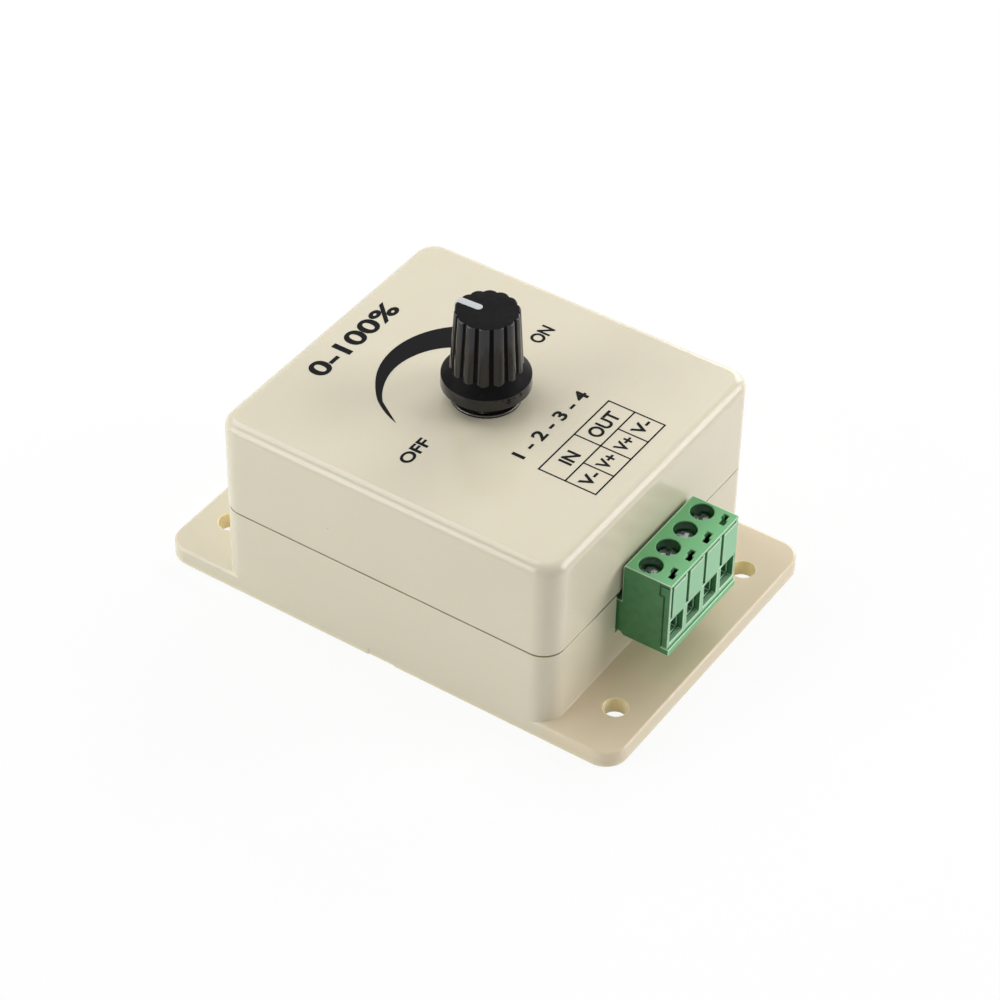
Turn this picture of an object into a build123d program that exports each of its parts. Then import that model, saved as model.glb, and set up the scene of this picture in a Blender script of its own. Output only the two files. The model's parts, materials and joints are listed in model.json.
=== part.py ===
"""Surface-mounted rotary dimmer for low-voltage lamps, in millimetres.

A flanged two-part plastic case holds a circuit board, a rotary potentiometer
with a fluted knob on the lid, and a four-way pluggable screw terminal in the
end wall. The origin is the centre of the footprint on the underside, +Z is up,
-Y is the end with the terminal and -X is the side with the moulding gate.
"""
from build123d import *
import math
import os

os.makedirs("parts", exist_ok=True)

# Case
case_width = 59.0
case_length = 64.0
flange_reach = 12.0
flange_thickness = 3.0
flange_corner = 4.0
flange_edge = 0.5
case_corner = 4.0
wall = 2.2
floor_thickness = 2.5
lid_height = 18.0
lid_thickness = 2.4
lid_edge = 2.0
parting_groove = 0.22
tongue_thickness = 1.0
tongue_height = 1.8
tongue_clearance = 0.1
base_length = case_length + 2 * flange_reach
inner_width = case_width - 2 * wall
inner_length = case_length - 2 * wall
case_front = -case_length / 2

# Mounting holes in the two flanges
mount_hole_radius = 2.0
mount_spacing_x = 39.0
mount_spacing_y = case_length + flange_reach

# Gate mark on the -X side of the base
gate_length = 5.0
gate_height = 1.3
gate_depth = 0.15

# Screws that hold the lid, put in from below
boss_radius = 4.0
boss_inset = 3.4
case_screw_radius = 1.45
case_screw_head_radius = 2.8
case_screw_head = 2.2
case_screw_length = 18.0
case_screw_recess = 6.0
case_screw_point = 0.8
case_screw_bevel = 0.7
screw_clearance = 0.05
head_clearance = 0.3
boss_x = inner_width / 2 - boss_inset
boss_y = inner_length / 2 - boss_inset

# Circuit board on its posts
post_height = 4.1
post_radius = 2.5
post_x = 21.0
post_front_y = -12.0
post_back_y = 14.0
board_thickness = 1.6
board_edge_gap = 0.8
board_back_y = 20.0
board_bottom = floor_thickness + post_height
board_top = board_bottom + board_thickness
board_screw_radius = 0.9
board_screw_head_radius = 2.0
board_screw_head = 1.4
board_screw_length = 4.6
board_screw_bevel = 0.7
cross_recess_width = 0.7
cross_recess_length = 2.2
cross_recess_depth = 0.9

# Header that the plug goes into
pole_count = 4
pole_pitch = 5.08
header_height = 8.6
header_depth = 12.0
header_end_wall = 1.0
header_cavity_depth = 9.0
header_front_gap = 0.4
header_floor = 0.85
header_roof = 0.9
header_pin_size = 1.0
header_pin_reach = 7.2
header_pin_tail = 1.8
header_top = board_top + header_height
header_front = case_front + wall + header_front_gap
header_back = header_front + header_depth

# Height of the joint between base and lid, just over the header
parting_clearance = 0.2
parting_height = header_top + parting_clearance
case_height = parting_height + lid_height
lid_underside = case_height - lid_thickness

# Plug with its four screw clamps
plug_width = pole_count * pole_pitch
plug_side_clearance = 0.16
plug_depth = 8.7
plug_wall_gap = 0.6
plug_height = 14.7
plug_back_edge = 0.3
plug_heel = 0.6
mating_length = 9.4
mating_clearance = 0.15
top_plate = 0.6
lip_height = 1.25
lip_proud = 0.25
cover_thickness = 1.2
cover_tab = 0.75
cover_tab_height = 2.05
cover_gap = 0.2
cover_seam = 0.08
window_width = 3.95
window_height = 4.6
window_sill = 0.8
mid_bar = 0.4
panel_height = 5.1
panel_depth = 0.45
well_radius = 1.95
well_from_back = 3.4
clamp_head_depth = 1.75
clamp_head_radius = 1.75
clamp_head = 1.3
clamp_head_edge = 0.2
clamp_slot_depth = 0.65
clamp_shank_radius = 1.25
clamp_shank_length = 4.9
shoulder = 0.7
cage_width = 3.5
cage_depth = 4.0
cage_opening_width = 2.5
cage_opening_height = 4.2
cage_floor = 0.8
cage_side_gap = 0.25
cage_corner = 0.3
cage_travel = 2.7
thread_clearance = 0.05
slot_length = 2.5
slot_width = 1.0
slot_step = 0.2
slot_offset = 0.35
slot_from_front = 1.5
slot_depth = 1.8
contact_thickness = 0.3
contact_width = 2.2
contact_height = 2.5
contact_gap = 0.1
contact_end_gap = 1.0
contact_slot_height = 4.3
tongue_under_cage = 0.2
contact_tongue = 0.5

plug_back = case_front - plug_wall_gap
plug_front = plug_back - plug_depth
mating_bottom = board_top + header_floor + mating_clearance
mating_top = header_top - header_roof - mating_clearance
mating_end = plug_back + mating_length
plug_bottom = mating_bottom - plug_heel
plug_top = plug_bottom + plug_height
pin_height = (mating_bottom + mating_top) / 2
well_y = plug_back - well_from_back
cover_back = plug_front + cover_thickness
cover_top = plug_top - top_plate - cover_seam
cover_bottom = plug_bottom + lip_height + cover_gap
window_bottom = cover_bottom + window_sill
cage_bottom = plug_bottom + lip_height
cavity_bottom = cage_bottom - cage_side_gap / 2
clamp_head_top = plug_top - clamp_head_depth
clamp_seat = clamp_head_top - clamp_head
cavity_top = clamp_seat - shoulder
cage_height = cavity_top - cage_side_gap - cage_travel - cage_bottom
cavity_width = cage_width + 2 * cage_side_gap
cavity_depth = cage_depth + 2 * cage_side_gap
cell_x = [(k - (pole_count - 1) / 2) * pole_pitch for k in range(pole_count)]

# Opening for the plug in the end wall of the base
plug_opening_clearance = 0.45
plug_opening_sill = 0.3
plug_opening_width = plug_width + 2 * plug_opening_clearance
plug_opening_bottom = mating_bottom - plug_opening_sill

# Potentiometer under the lid
shaft_y = 0.3
pot_plate_radius = 8.1
pot_plate = 1.0
pot_can_radius = 8.3
pot_can_wall = 0.4
pot_can_height = 8.0
bushing_radius = 3.5
bushing_length = 6.8
bushing_edge = 0.3
bushing_hole_clearance = 0.1
shaft_radius = 3.0
shaft_clearance = 0.05
shaft_foot_radius = 2.5
shaft_end = 10.6
knurl_count = 18
knurl_root = 2.7
knurl_tooth = 0.42
knurl_length = 8.0
shaft_slot = 1.0
wafer = 1.2
wafer_lift = 0.2
wafer_tongue_width = 13.0
wafer_tongue_reach = 11.3
pot_lug_pitch = 5.0
pot_lug_width = 2.4
pot_lug_thickness = 0.4
pot_lug_reach = 15.0
pot_lug_hole = 0.6
lug_hole_inset = 1.5
rivet_radius = 0.7
rivet_head_radius = 1.2
rotor_radius = 6.2
rotor_height = 3.0
rotor_lift = 1.0
wiper_thickness = 0.2
wiper_gap = 0.1
wiper_inset = 0.6
finger_angle = 12.0
finger_half_angle = 5.0
stop_angle = 270.0
stop_half_angle = 14.5
nose_half_angle = 15.0
nose_reach = 7.2
locating_tab_width = 2.4
locating_tab_thickness = 0.8
locating_tab_height = 1.2
locating_tab_radius = 7.6
washer_radius = 5.8
washer_thickness = 0.5
washer_edge = 0.12
nut_across_flats = 10.0
nut_thickness = 2.0
nut_turn = 28.0
clip_thickness = 0.6
clip_radius = 4.2
clip_groove_radius = 2.4
clip_clearance = 0.05
clip_mouth = 70.0
lead_radius = 0.75
lead_core_radius = 0.3
lead_tail = 1.0

plate_bottom = lid_underside - pot_plate
can_bottom = plate_bottom - pot_can_height
wafer_bottom = can_bottom + pot_can_wall + wafer_lift
wafer_top = wafer_bottom + wafer
rotor_bottom = wafer_top + rotor_lift
bushing_top = lid_underside + bushing_length
clip_bottom = bushing_top + clip_clearance

# Places on the board: power transistor, chip, capacitors, resistors and diodes
transistor_place = (-17.5, 4.0)
transistor_width = 10.2
transistor_depth = 4.4
transistor_height = 9.0
transistor_lift = 3.5
transistor_tab = 1.3
transistor_tab_height = 15.5
transistor_tab_hole = 1.8
transistor_tab_margin = 1.0
transistor_edge = 0.6
transistor_leg_pitch = 2.54
transistor_leg = 0.8
chip_place = (3.5, -5.0)
chip_length = 9.8
chip_width = 6.4
chip_height = 3.3
chip_edge = 0.4
chip_lift = 0.6
chip_row_spacing = 7.62
chip_leg_pitch = 2.54
chip_leg_width = 0.5
chip_leg_thickness = 0.3
chip_notch = 0.8
big_capacitor_place = (17.5, 3.5)
big_capacitor_radius = 4.0
big_capacitor_height = 11.5
big_capacitor_edge = 0.5
capacitor_leg_pitch = 3.5
small_capacitor_places = [(-6.0, -6.0), (14.0, -9.5)]
small_capacitor_radius = 2.6
small_capacitor_depth = 2.2
small_capacitor_lift = 1.2
small_capacitor_pitch = 3.0
resistor_places = [(-6.5, 2.5), (-6.5, 6.0), (5.0, 4.5), (5.0, 8.0)]
resistor_radius = 1.15
resistor_length = 6.3
resistor_span = 10.16
diode_places = [(-13.0, -4.0), (-13.0, -8.0)]
diode_radius = 1.3
diode_length = 4.6
diode_span = 8.0
wire_radius = 0.3
leg_hole_clearance = 0.12
leg_tail = 1.4

lug_y = shaft_y + pot_lug_reach - lug_hole_inset
lug_x = [(k - 1) * pot_lug_pitch for k in range(3)]
header_leg_y = header_back + header_pin_size

wire_holes = [(x, lug_y) for x in lug_x]
for x, y in resistor_places:
    wire_holes += [(x - resistor_span / 2, y), (x + resistor_span / 2, y)]
for x, y in diode_places:
    wire_holes += [(x - diode_span / 2, y), (x + diode_span / 2, y)]
for x, y in small_capacitor_places:
    wire_holes += [(x - small_capacitor_pitch / 2, y), (x + small_capacitor_pitch / 2, y)]
big_capacitor_legs = [(big_capacitor_place[0] + side * capacitor_leg_pitch / 2, big_capacitor_place[1])
                      for side in (-1, 1)]
wire_holes += big_capacitor_legs
transistor_legs = [(transistor_place[0] + k * transistor_leg_pitch, transistor_place[1])
                   for k in (-1, 0, 1)]
chip_legs = [(chip_place[0] + (k - 1.5) * chip_leg_pitch, chip_place[1] + side * chip_row_spacing / 2)
             for k in range(4) for side in (-1, 1)]
post_places = [(side * post_x, y) for y in (post_front_y, post_back_y) for side in (-1, 1)]

# Knob
knob_height = 14.41
knob_lift = 2.74
knob_top_radius = 5.27
knob_flute_foot_radius = 5.98
knob_flute_foot = 2.76
lobe_count = 14
lobe_share = 0.263
core_share = 0.9
skirt_radius = 7.36
skirt_top_radius = 7.28
skirt_height = 2.05
cone_height = 4.11
cone_top_radius = 5.55
knob_recess_radius = 5.9
knob_recess_depth = 2.46
clip_recess_radius = 4.8
clip_recess_depth = 3.71
knob_cap = 2.0
pointer_angle = 93.0
pointer_width = 1.45
pointer_start = 0.95
pointer_depth = 1.0
pointer_proud = 0.3
pointer_above = 0.05
pointer_side = 0.7
pointer_foot = 4.11
pointer_corner = 0.45
fillet_margin = 0.02

knob_bottom = case_height + knob_lift
knob_top = knob_bottom + knob_height
shaft_top = bushing_top + shaft_end
shaft_axis = Axis((0, shaft_y, 0), (0, 0, 1))


def level(height, y=0.0):
    """Horizontal sketch plane at a height, centred on x = 0."""
    return Plane((0, y, height))


def at_shaft(height):
    """Horizontal sketch plane centred on the shaft."""
    return level(height, shaft_y)


def facing_front(x, y, z):
    """Upright sketch plane that faces -Y, with its x along +X and its y up."""
    return Plane((x, y, z), x_dir=(1, 0, 0), z_dir=(0, -1, 0))


def facing_side(x, y, z):
    """Upright sketch plane that faces +X, with its x along +Y and its y up."""
    return Plane((x, y, z), x_dir=(0, 1, 0), z_dir=(1, 0, 0))


# Base: flange, walls, screw bosses and board posts
with BuildPart() as base_shell:
    with BuildSketch(level(0)):
        RectangleRounded(case_width, base_length, flange_corner)
    extrude(amount=flange_thickness)
    fillet(base_shell.faces().sort_by(Axis.Z)[-1].edges(), flange_edge)
    with BuildSketch(level(0)):
        RectangleRounded(case_width, case_length, case_corner)
    extrude(amount=parting_height)
    chamfer(base_shell.faces().sort_by(Axis.Z)[-1].edges(), parting_groove)
    with BuildSketch(level(floor_thickness)):
        RectangleRounded(inner_width, inner_length, case_corner - wall)
    extrude(amount=parting_height, mode=Mode.SUBTRACT)
    with BuildSketch(level(parting_height)):
        rim = wall - tongue_thickness
        RectangleRounded(case_width - 2 * rim, case_length - 2 * rim, case_corner - rim)
        RectangleRounded(inner_width, inner_length, case_corner - wall, mode=Mode.SUBTRACT)
    extrude(amount=tongue_height)
    with BuildSketch(level(floor_thickness / 2)):
        with GridLocations(2 * boss_x, 2 * boss_y, 2, 2):
            Circle(boss_radius)
    extrude(amount=parting_height - floor_thickness / 2)
    with BuildSketch(level(floor_thickness / 2)):
        with Locations(*post_places):
            Circle(post_radius)
    extrude(amount=board_bottom - floor_thickness / 2)
    with BuildSketch(level(board_bottom)):
        with Locations(*post_places):
            Circle(board_screw_radius + screw_clearance)
    extrude(amount=-post_height, mode=Mode.SUBTRACT)
    with BuildSketch(level(0)):
        with GridLocations(2 * boss_x, 2 * boss_y, 2, 2):
            Circle(case_screw_radius + screw_clearance)
    extrude(amount=case_height, mode=Mode.SUBTRACT)
    with BuildSketch(level(0)):
        with GridLocations(2 * boss_x, 2 * boss_y, 2, 2):
            Circle(case_screw_head_radius + head_clearance)
    extrude(amount=case_screw_recess, mode=Mode.SUBTRACT)
    with BuildSketch(level(0)):
        with GridLocations(mount_spacing_x, mount_spacing_y, 2, 2):
            Circle(mount_hole_radius)
    extrude(amount=flange_thickness, mode=Mode.SUBTRACT)
    with BuildSketch(level(plug_opening_bottom)):
        with Locations((0, case_front)):
            Rectangle(plug_opening_width, 4 * wall)
    extrude(amount=case_height, mode=Mode.SUBTRACT)
    with BuildSketch(level(0)):
        with Locations((-case_width / 2, 0)):
            Rectangle(2 * gate_depth, gate_length)
    extrude(amount=gate_height, mode=Mode.SUBTRACT)
base_shell.part.label = "base_shell"
export_step(base_shell.part, "parts/base_shell.step")

# Lid: top, walls, screw posts, shaft hole and the rebate over the base's tongue
with BuildPart() as lid:
    with BuildSketch(level(parting_height)):
        RectangleRounded(case_width, case_length, case_corner)
    extrude(amount=lid_height)
    fillet(lid.faces().sort_by(Axis.Z)[-1].edges(), lid_edge)
    chamfer(lid.faces().sort_by(Axis.Z)[0].edges(), parting_groove)
    with BuildSketch(level(parting_height)):
        RectangleRounded(inner_width, inner_length, case_corner - wall)
    extrude(amount=lid_height - lid_thickness, mode=Mode.SUBTRACT)
    with BuildSketch(level(parting_height)):
        with GridLocations(2 * boss_x, 2 * boss_y, 2, 2):
            Circle(boss_radius)
    extrude(amount=lid_height - lid_thickness / 2)
    with BuildSketch(level(parting_height)):
        rebate = wall - tongue_thickness - tongue_clearance
        RectangleRounded(case_width - 2 * rebate, case_length - 2 * rebate, case_corner - rebate)
        RectangleRounded(inner_width, inner_length, case_corner - wall, mode=Mode.SUBTRACT)
    extrude(amount=tongue_height + tongue_clearance, mode=Mode.SUBTRACT)
    with BuildSketch(level(parting_height)):
        with GridLocations(2 * boss_x, 2 * boss_y, 2, 2):
            Circle(case_screw_radius + screw_clearance)
    extrude(amount=lid_height - lid_thickness, mode=Mode.SUBTRACT)
    with BuildSketch(at_shaft(parting_height)):
        Circle(bushing_radius + bushing_hole_clearance)
    extrude(amount=lid_height, mode=Mode.SUBTRACT)
    with BuildSketch(at_shaft(lid_underside)):
        with Locations((-locating_tab_radius, 0)):
            around = 2 * bushing_hole_clearance
            Rectangle(locating_tab_thickness + around, locating_tab_width + around)
    extrude(amount=locating_tab_height + bushing_hole_clearance, mode=Mode.SUBTRACT)
lid.part.label = "lid"
export_step(lid.part, "parts/lid.step")

# Four long screws from below through the base into the lid
with BuildPart() as case_screws:
    with BuildSketch(level(case_screw_recess)):
        with GridLocations(2 * boss_x, 2 * boss_y, 2, 2):
            Circle(case_screw_head_radius)
    extrude(amount=-case_screw_head)
    chamfer(case_screws.faces().filter_by(Axis.Z).group_by(Axis.Z)[0].edges(), case_screw_bevel)
    with BuildSketch(level(case_screw_recess)):
        with GridLocations(2 * boss_x, 2 * boss_y, 2, 2):
            Circle(case_screw_radius)
    extrude(amount=case_screw_length)
    chamfer(case_screws.faces().filter_by(Axis.Z).group_by(Axis.Z)[-1].edges(), case_screw_point)
    with BuildSketch(level(case_screw_recess - case_screw_head)):
        with GridLocations(2 * boss_x, 2 * boss_y, 2, 2):
            Rectangle(cross_recess_length, cross_recess_width)
            Rectangle(cross_recess_width, cross_recess_length)
    extrude(amount=cross_recess_depth, mode=Mode.SUBTRACT)
case_screws.part.label = "case_screws"
export_step(case_screws.part, "parts/case_screws.step")

# Circuit board, drilled for every leg, notched round the front bosses
with BuildPart() as circuit_board:
    board_front_y = case_front + wall + board_edge_gap
    board_width = inner_width - 2 * board_edge_gap
    with BuildSketch(level(board_bottom, (board_front_y + board_back_y) / 2)):
        Rectangle(board_width, board_back_y - board_front_y)
    extrude(amount=board_thickness)
    with BuildSketch(level(board_bottom)):
        with Locations((-boss_x, -boss_y), (boss_x, -boss_y)):
            Circle(boss_radius + board_edge_gap)
        with Locations(*post_places):
            Circle(board_screw_radius + screw_clearance)
        with Locations(*wire_holes):
            Circle(wire_radius + leg_hole_clearance)
        with Locations(*transistor_legs):
            Circle(transistor_leg / math.sqrt(2) + leg_hole_clearance)
        with Locations(*chip_legs):
            Circle(chip_leg_width / 2 + leg_hole_clearance)
        with Locations(*[(x, header_leg_y) for x in cell_x]):
            Circle(header_pin_size / math.sqrt(2) + leg_hole_clearance)
    extrude(amount=board_thickness, mode=Mode.SUBTRACT)
circuit_board.part.label = "circuit_board"
export_step(circuit_board.part, "parts/circuit_board.step")

# Four small screws that hold the board to its posts
with BuildPart() as board_screws:
    with BuildSketch(level(board_top)):
        with Locations(*post_places):
            Circle(board_screw_head_radius)
    extrude(amount=board_screw_head)
    chamfer(board_screws.faces().filter_by(Axis.Z).group_by(Axis.Z)[-1].edges(), board_screw_bevel)
    with BuildSketch(level(board_top)):
        with Locations(*post_places):
            Circle(board_screw_radius)
    extrude(amount=-board_screw_length)
    with BuildSketch(level(board_top + board_screw_head)):
        with Locations(*post_places):
            Rectangle(cross_recess_length, cross_recess_width)
            Rectangle(cross_recess_width, cross_recess_length)
    extrude(amount=-cross_recess_depth, mode=Mode.SUBTRACT)
board_screws.part.label = "board_screws"
export_step(board_screws.part, "parts/board_screws.step")

# Power transistor: moulded body on a copper tab with three legs
transistor_back = transistor_place[1] + transistor_depth / 2
transistor_bottom = board_top + transistor_lift
with BuildPart() as transistor_leadframe:
    tab_middle = transistor_bottom + transistor_tab_height / 2
    with BuildSketch(facing_front(transistor_place[0], transistor_back, tab_middle)):
        Rectangle(transistor_width, transistor_tab_height)
        with Locations((0, transistor_tab_height / 2 - transistor_tab_hole - transistor_tab_margin)):
            Circle(transistor_tab_hole, mode=Mode.SUBTRACT)
    extrude(amount=transistor_tab)
    with BuildSketch(level(transistor_bottom)):
        with Locations(*transistor_legs):
            Rectangle(transistor_leg, transistor_leg)
    extrude(amount=-(transistor_lift + board_thickness + leg_tail))
    with BuildSketch(level(transistor_bottom, transistor_place[1])):
        with Locations((transistor_place[0], (transistor_depth / 2 - transistor_leg) / 2)):
            Rectangle(2 * transistor_leg_pitch + transistor_leg, transistor_depth / 2 + transistor_leg)
    extrude(amount=transistor_leg)
transistor_leadframe.part.label = "transistor_leadframe"
export_step(transistor_leadframe.part, "parts/transistor_leadframe.step")

with BuildPart() as transistor_body:
    with BuildSketch(level(transistor_bottom, transistor_place[1])):
        with Locations((transistor_place[0], 0)):
            Rectangle(transistor_width, transistor_depth)
    extrude(amount=transistor_height)
    chamfer(transistor_body.faces().sort_by(Axis.Y)[0].edges(), transistor_edge)
    add(transistor_leadframe.part, mode=Mode.SUBTRACT)
transistor_body.part.label = "transistor_body"
export_step(transistor_body.part, "parts/transistor_body.step")

# Timer chip in an eight-leg package
chip_bottom = board_top + chip_lift
with BuildPart() as chip_body:
    with BuildSketch(level(chip_bottom)):
        with Locations(chip_place):
            Rectangle(chip_length, chip_width)
    extrude(amount=chip_height)
    chamfer(chip_body.faces().sort_by(Axis.Z)[-1].edges(), chip_edge)
    with BuildSketch(level(chip_bottom + chip_height)):
        with Locations((chip_place[0] - chip_length / 2, chip_place[1])):
            Circle(chip_notch)
    extrude(amount=-chip_notch, mode=Mode.SUBTRACT)
chip_body.part.label = "chip_body"
export_step(chip_body.part, "parts/chip_body.step")

with BuildPart() as chip_pins:
    leg_height = chip_lift + chip_height / 2
    leg_outer = (chip_row_spacing + chip_leg_thickness) / 2
    leg_inner = chip_width / 2
    for x, y in chip_legs:
        side = math.copysign(1, y - chip_place[1])
        with BuildSketch(level(board_top + leg_height)):
            with Locations((x, chip_place[1] + side * (leg_inner + leg_outer) / 2)):
                Rectangle(chip_leg_width, leg_outer - leg_inner)
        extrude(amount=chip_leg_thickness)
        with BuildSketch(level(board_top + leg_height)):
            with Locations((x, y)):
                Rectangle(chip_leg_width, chip_leg_thickness)
        extrude(amount=-(leg_height + board_thickness + leg_tail))
chip_pins.part.label = "chip_pins"
export_step(chip_pins.part, "parts/chip_pins.step")

# Large electrolytic capacitor standing on the board, with its two legs
with BuildPart() as big_capacitor:
    with BuildSketch(level(board_top)):
        with Locations(big_capacitor_place):
            Circle(big_capacitor_radius)
    extrude(amount=big_capacitor_height)
    fillet(big_capacitor.faces().sort_by(Axis.Z)[-1].edges(), big_capacitor_edge)
    with BuildSketch(level(board_top)):
        with Locations(*big_capacitor_legs):
            Circle(wire_radius)
    extrude(amount=-(board_thickness + leg_tail))
big_capacitor.part.label = "big_capacitor"
export_step(big_capacitor.part, "parts/big_capacitor.step")

# Small disc capacitors standing on their legs
with BuildPart() as small_capacitors:
    for x, y in small_capacitor_places:
        disc_height = board_top + small_capacitor_lift + small_capacitor_radius
        with BuildSketch(facing_front(x, y, disc_height)):
            Circle(small_capacitor_radius)
        extrude(amount=small_capacitor_depth / 2, both=True)
        for side in (-1, 1):
            with BuildSketch(level(disc_height)):
                with Locations((x + side * small_capacitor_pitch / 2, y)):
                    Circle(wire_radius)
            extrude(amount=-(disc_height - board_bottom + leg_tail))
small_capacitors.part.label = "small_capacitors"
export_step(small_capacitors.part, "parts/small_capacitors.step")


def axial_pieces(places, radius, length, span):
    """Bodies lying along X, each on two legs bent down through the board."""
    with BuildPart() as pieces:
        height = board_top + radius
        for x, y in places:
            with BuildSketch(facing_side(x, y, height)):
                Circle(radius)
            extrude(amount=length / 2, both=True)
            with BuildSketch(facing_side(x, y, height)):
                Circle(wire_radius)
            extrude(amount=span / 2 + wire_radius, both=True)
            for side in (-1, 1):
                with BuildSketch(level(height + wire_radius)):
                    with Locations((x + side * span / 2, y)):
                        Circle(wire_radius)
                extrude(amount=-(height + wire_radius - board_bottom + leg_tail))
    return pieces


resistors = axial_pieces(resistor_places, resistor_radius, resistor_length, resistor_span)
resistors.part.label = "resistors"
export_step(resistors.part, "parts/resistors.step")

diodes = axial_pieces(diode_places, diode_radius, diode_length, diode_span)
diodes.part.label = "diodes"
export_step(diodes.part, "parts/diodes.step")

# Header: an open box on the board, facing the opening in the wall
header_width = plug_width + 2 * (plug_side_clearance + header_end_wall)
with BuildPart() as header_shroud:
    with BuildSketch(facing_front(0, header_front, board_top + header_height / 2)):
        Rectangle(header_width, header_height)
    extrude(amount=-header_depth)
    with BuildSketch(facing_front(0, header_front, 0)):
        with Locations((0, board_top + (header_floor + header_height - header_roof) / 2)):
            Rectangle(plug_width + 2 * plug_side_clearance, header_height - header_floor - header_roof)
    extrude(amount=-header_cavity_depth, mode=Mode.SUBTRACT)
    with BuildSketch(facing_front(0, header_back, pin_height)):
        with Locations(*[(x, 0) for x in cell_x]):
            Rectangle(header_pin_size, header_pin_size)
    extrude(amount=header_depth, mode=Mode.SUBTRACT)
header_shroud.part.label = "header_shroud"
export_step(header_shroud.part, "parts/header_shroud.step")

with BuildPart() as header_pins:
    header_wall_front = header_front + header_cavity_depth
    with BuildSketch(facing_front(0, header_leg_y + header_pin_size / 2, pin_height)):
        with Locations(*[(x, 0) for x in cell_x]):
            Rectangle(header_pin_size, header_pin_size)
    extrude(amount=header_leg_y + header_pin_size / 2 - header_wall_front + header_pin_reach)
    chamfer(header_pins.faces().group_by(Axis.Y)[0].edges(), header_pin_size / 4)
    with BuildSketch(level(pin_height + header_pin_size / 2)):
        with Locations(*[(x, header_leg_y) for x in cell_x]):
            Rectangle(header_pin_size, header_pin_size)
    extrude(amount=-(pin_height + header_pin_size / 2 - board_bottom + header_pin_tail))
header_pins.part.label = "header_pins"
export_step(header_pins.part, "parts/header_pins.step")

# Plug housing: side profile across the full width, then the cells inside
with BuildPart() as plug_housing:
    lip_top = plug_bottom + lip_height
    tab_bottom = cover_top - cover_tab_height
    with BuildSketch(Plane.YZ):
        with BuildLine():
            Polyline(
                (plug_back - plug_back_edge, plug_top), (plug_front, plug_top),
                (plug_front, plug_top - top_plate), (cover_back + cover_tab, plug_top - top_plate),
                (cover_back + cover_tab, tab_bottom),
                (cover_back, tab_bottom), (cover_back, lip_top), (plug_front - lip_proud, lip_top),
                (plug_front - lip_proud, plug_bottom), (plug_back - plug_heel, plug_bottom),
                (plug_back, mating_bottom), (mating_end, mating_bottom), (mating_end, mating_top),
                (plug_back, mating_top), (plug_back, plug_top - plug_back_edge), close=True)
        make_face()
    extrude(amount=plug_width / 2, both=True)
    for x in cell_x:
        with BuildSketch(level(clamp_seat)):
            with Locations((x, well_y)):
                Circle(well_radius)
        extrude(amount=plug_top - clamp_seat, mode=Mode.SUBTRACT)
        with BuildSketch(level(cavity_bottom)):
            with Locations((x, well_y)):
                Rectangle(cavity_width, cavity_depth)
        extrude(amount=cavity_top - cavity_bottom, mode=Mode.SUBTRACT)
        with BuildSketch(level(cavity_top)):
            with Locations((x, well_y)):
                Circle(clamp_shank_radius + 2 * thread_clearance)
        extrude(amount=shoulder, mode=Mode.SUBTRACT)
        with BuildSketch(facing_front(x, cover_back, window_bottom)):
            with Locations((0, window_height / 2)):
                Rectangle(window_width, window_height)
        extrude(amount=-(well_y - cover_back), mode=Mode.SUBTRACT)
        with BuildSketch(facing_front(x, mating_end, pin_height)):
            with Locations((0, contact_gap)):
                Rectangle(contact_width + 2 * contact_gap, contact_slot_height)
        extrude(amount=mating_end - well_y, mode=Mode.SUBTRACT)
        with BuildSketch(level(plug_top)):
            with Locations((x + slot_offset - slot_length / 4, plug_front + slot_from_front - slot_step)):
                Rectangle(slot_length / 2, slot_width)
            with Locations((x + slot_offset + slot_length / 4, plug_front + slot_from_front + slot_step)):
                Rectangle(slot_length / 2, slot_width)
        extrude(amount=-slot_depth, mode=Mode.SUBTRACT)
plug_housing.part.label = "plug_housing"
export_step(plug_housing.part, "parts/plug_housing.step")

# Front cover of the plug: four closed panels above four wire windows
with BuildPart() as plug_front_cover:
    cover_height = cover_top - cover_bottom
    cover_plane = facing_front(0, cover_back - cover_seam, cover_bottom)
    with BuildSketch(cover_plane):
        with Locations((0, cover_height / 2)):
            Rectangle(plug_width, cover_height)
    extrude(amount=cover_thickness - cover_seam)
    with BuildSketch(cover_plane):
        with Locations((0, cover_height - (cover_tab_height - cover_seam) / 2)):
            Rectangle(plug_width, cover_tab_height - cover_seam)
    extrude(amount=-cover_tab)
    panel_bottom = window_sill + window_height + mid_bar
    for x in cell_x:
        with BuildSketch(cover_plane):
            with Locations((x, window_sill + window_height / 2)):
                Rectangle(window_width, window_height)
        extrude(amount=cover_thickness, mode=Mode.SUBTRACT)
        with BuildSketch(cover_plane.offset(cover_thickness - cover_seam)):
            with Locations((x, panel_bottom + panel_height / 2)):
                Rectangle(window_width, panel_height)
        extrude(amount=-panel_depth, mode=Mode.SUBTRACT)
        with BuildSketch(level(cover_top)):
            with Locations((x + slot_offset, plug_front + slot_from_front)):
                Rectangle(slot_length + 3 * slot_step, slot_width + 3 * slot_step)
        extrude(amount=-cover_tab_height, mode=Mode.SUBTRACT)
plug_front_cover.part.label = "plug_front_cover"
export_step(plug_front_cover.part, "parts/plug_front_cover.step")

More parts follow.
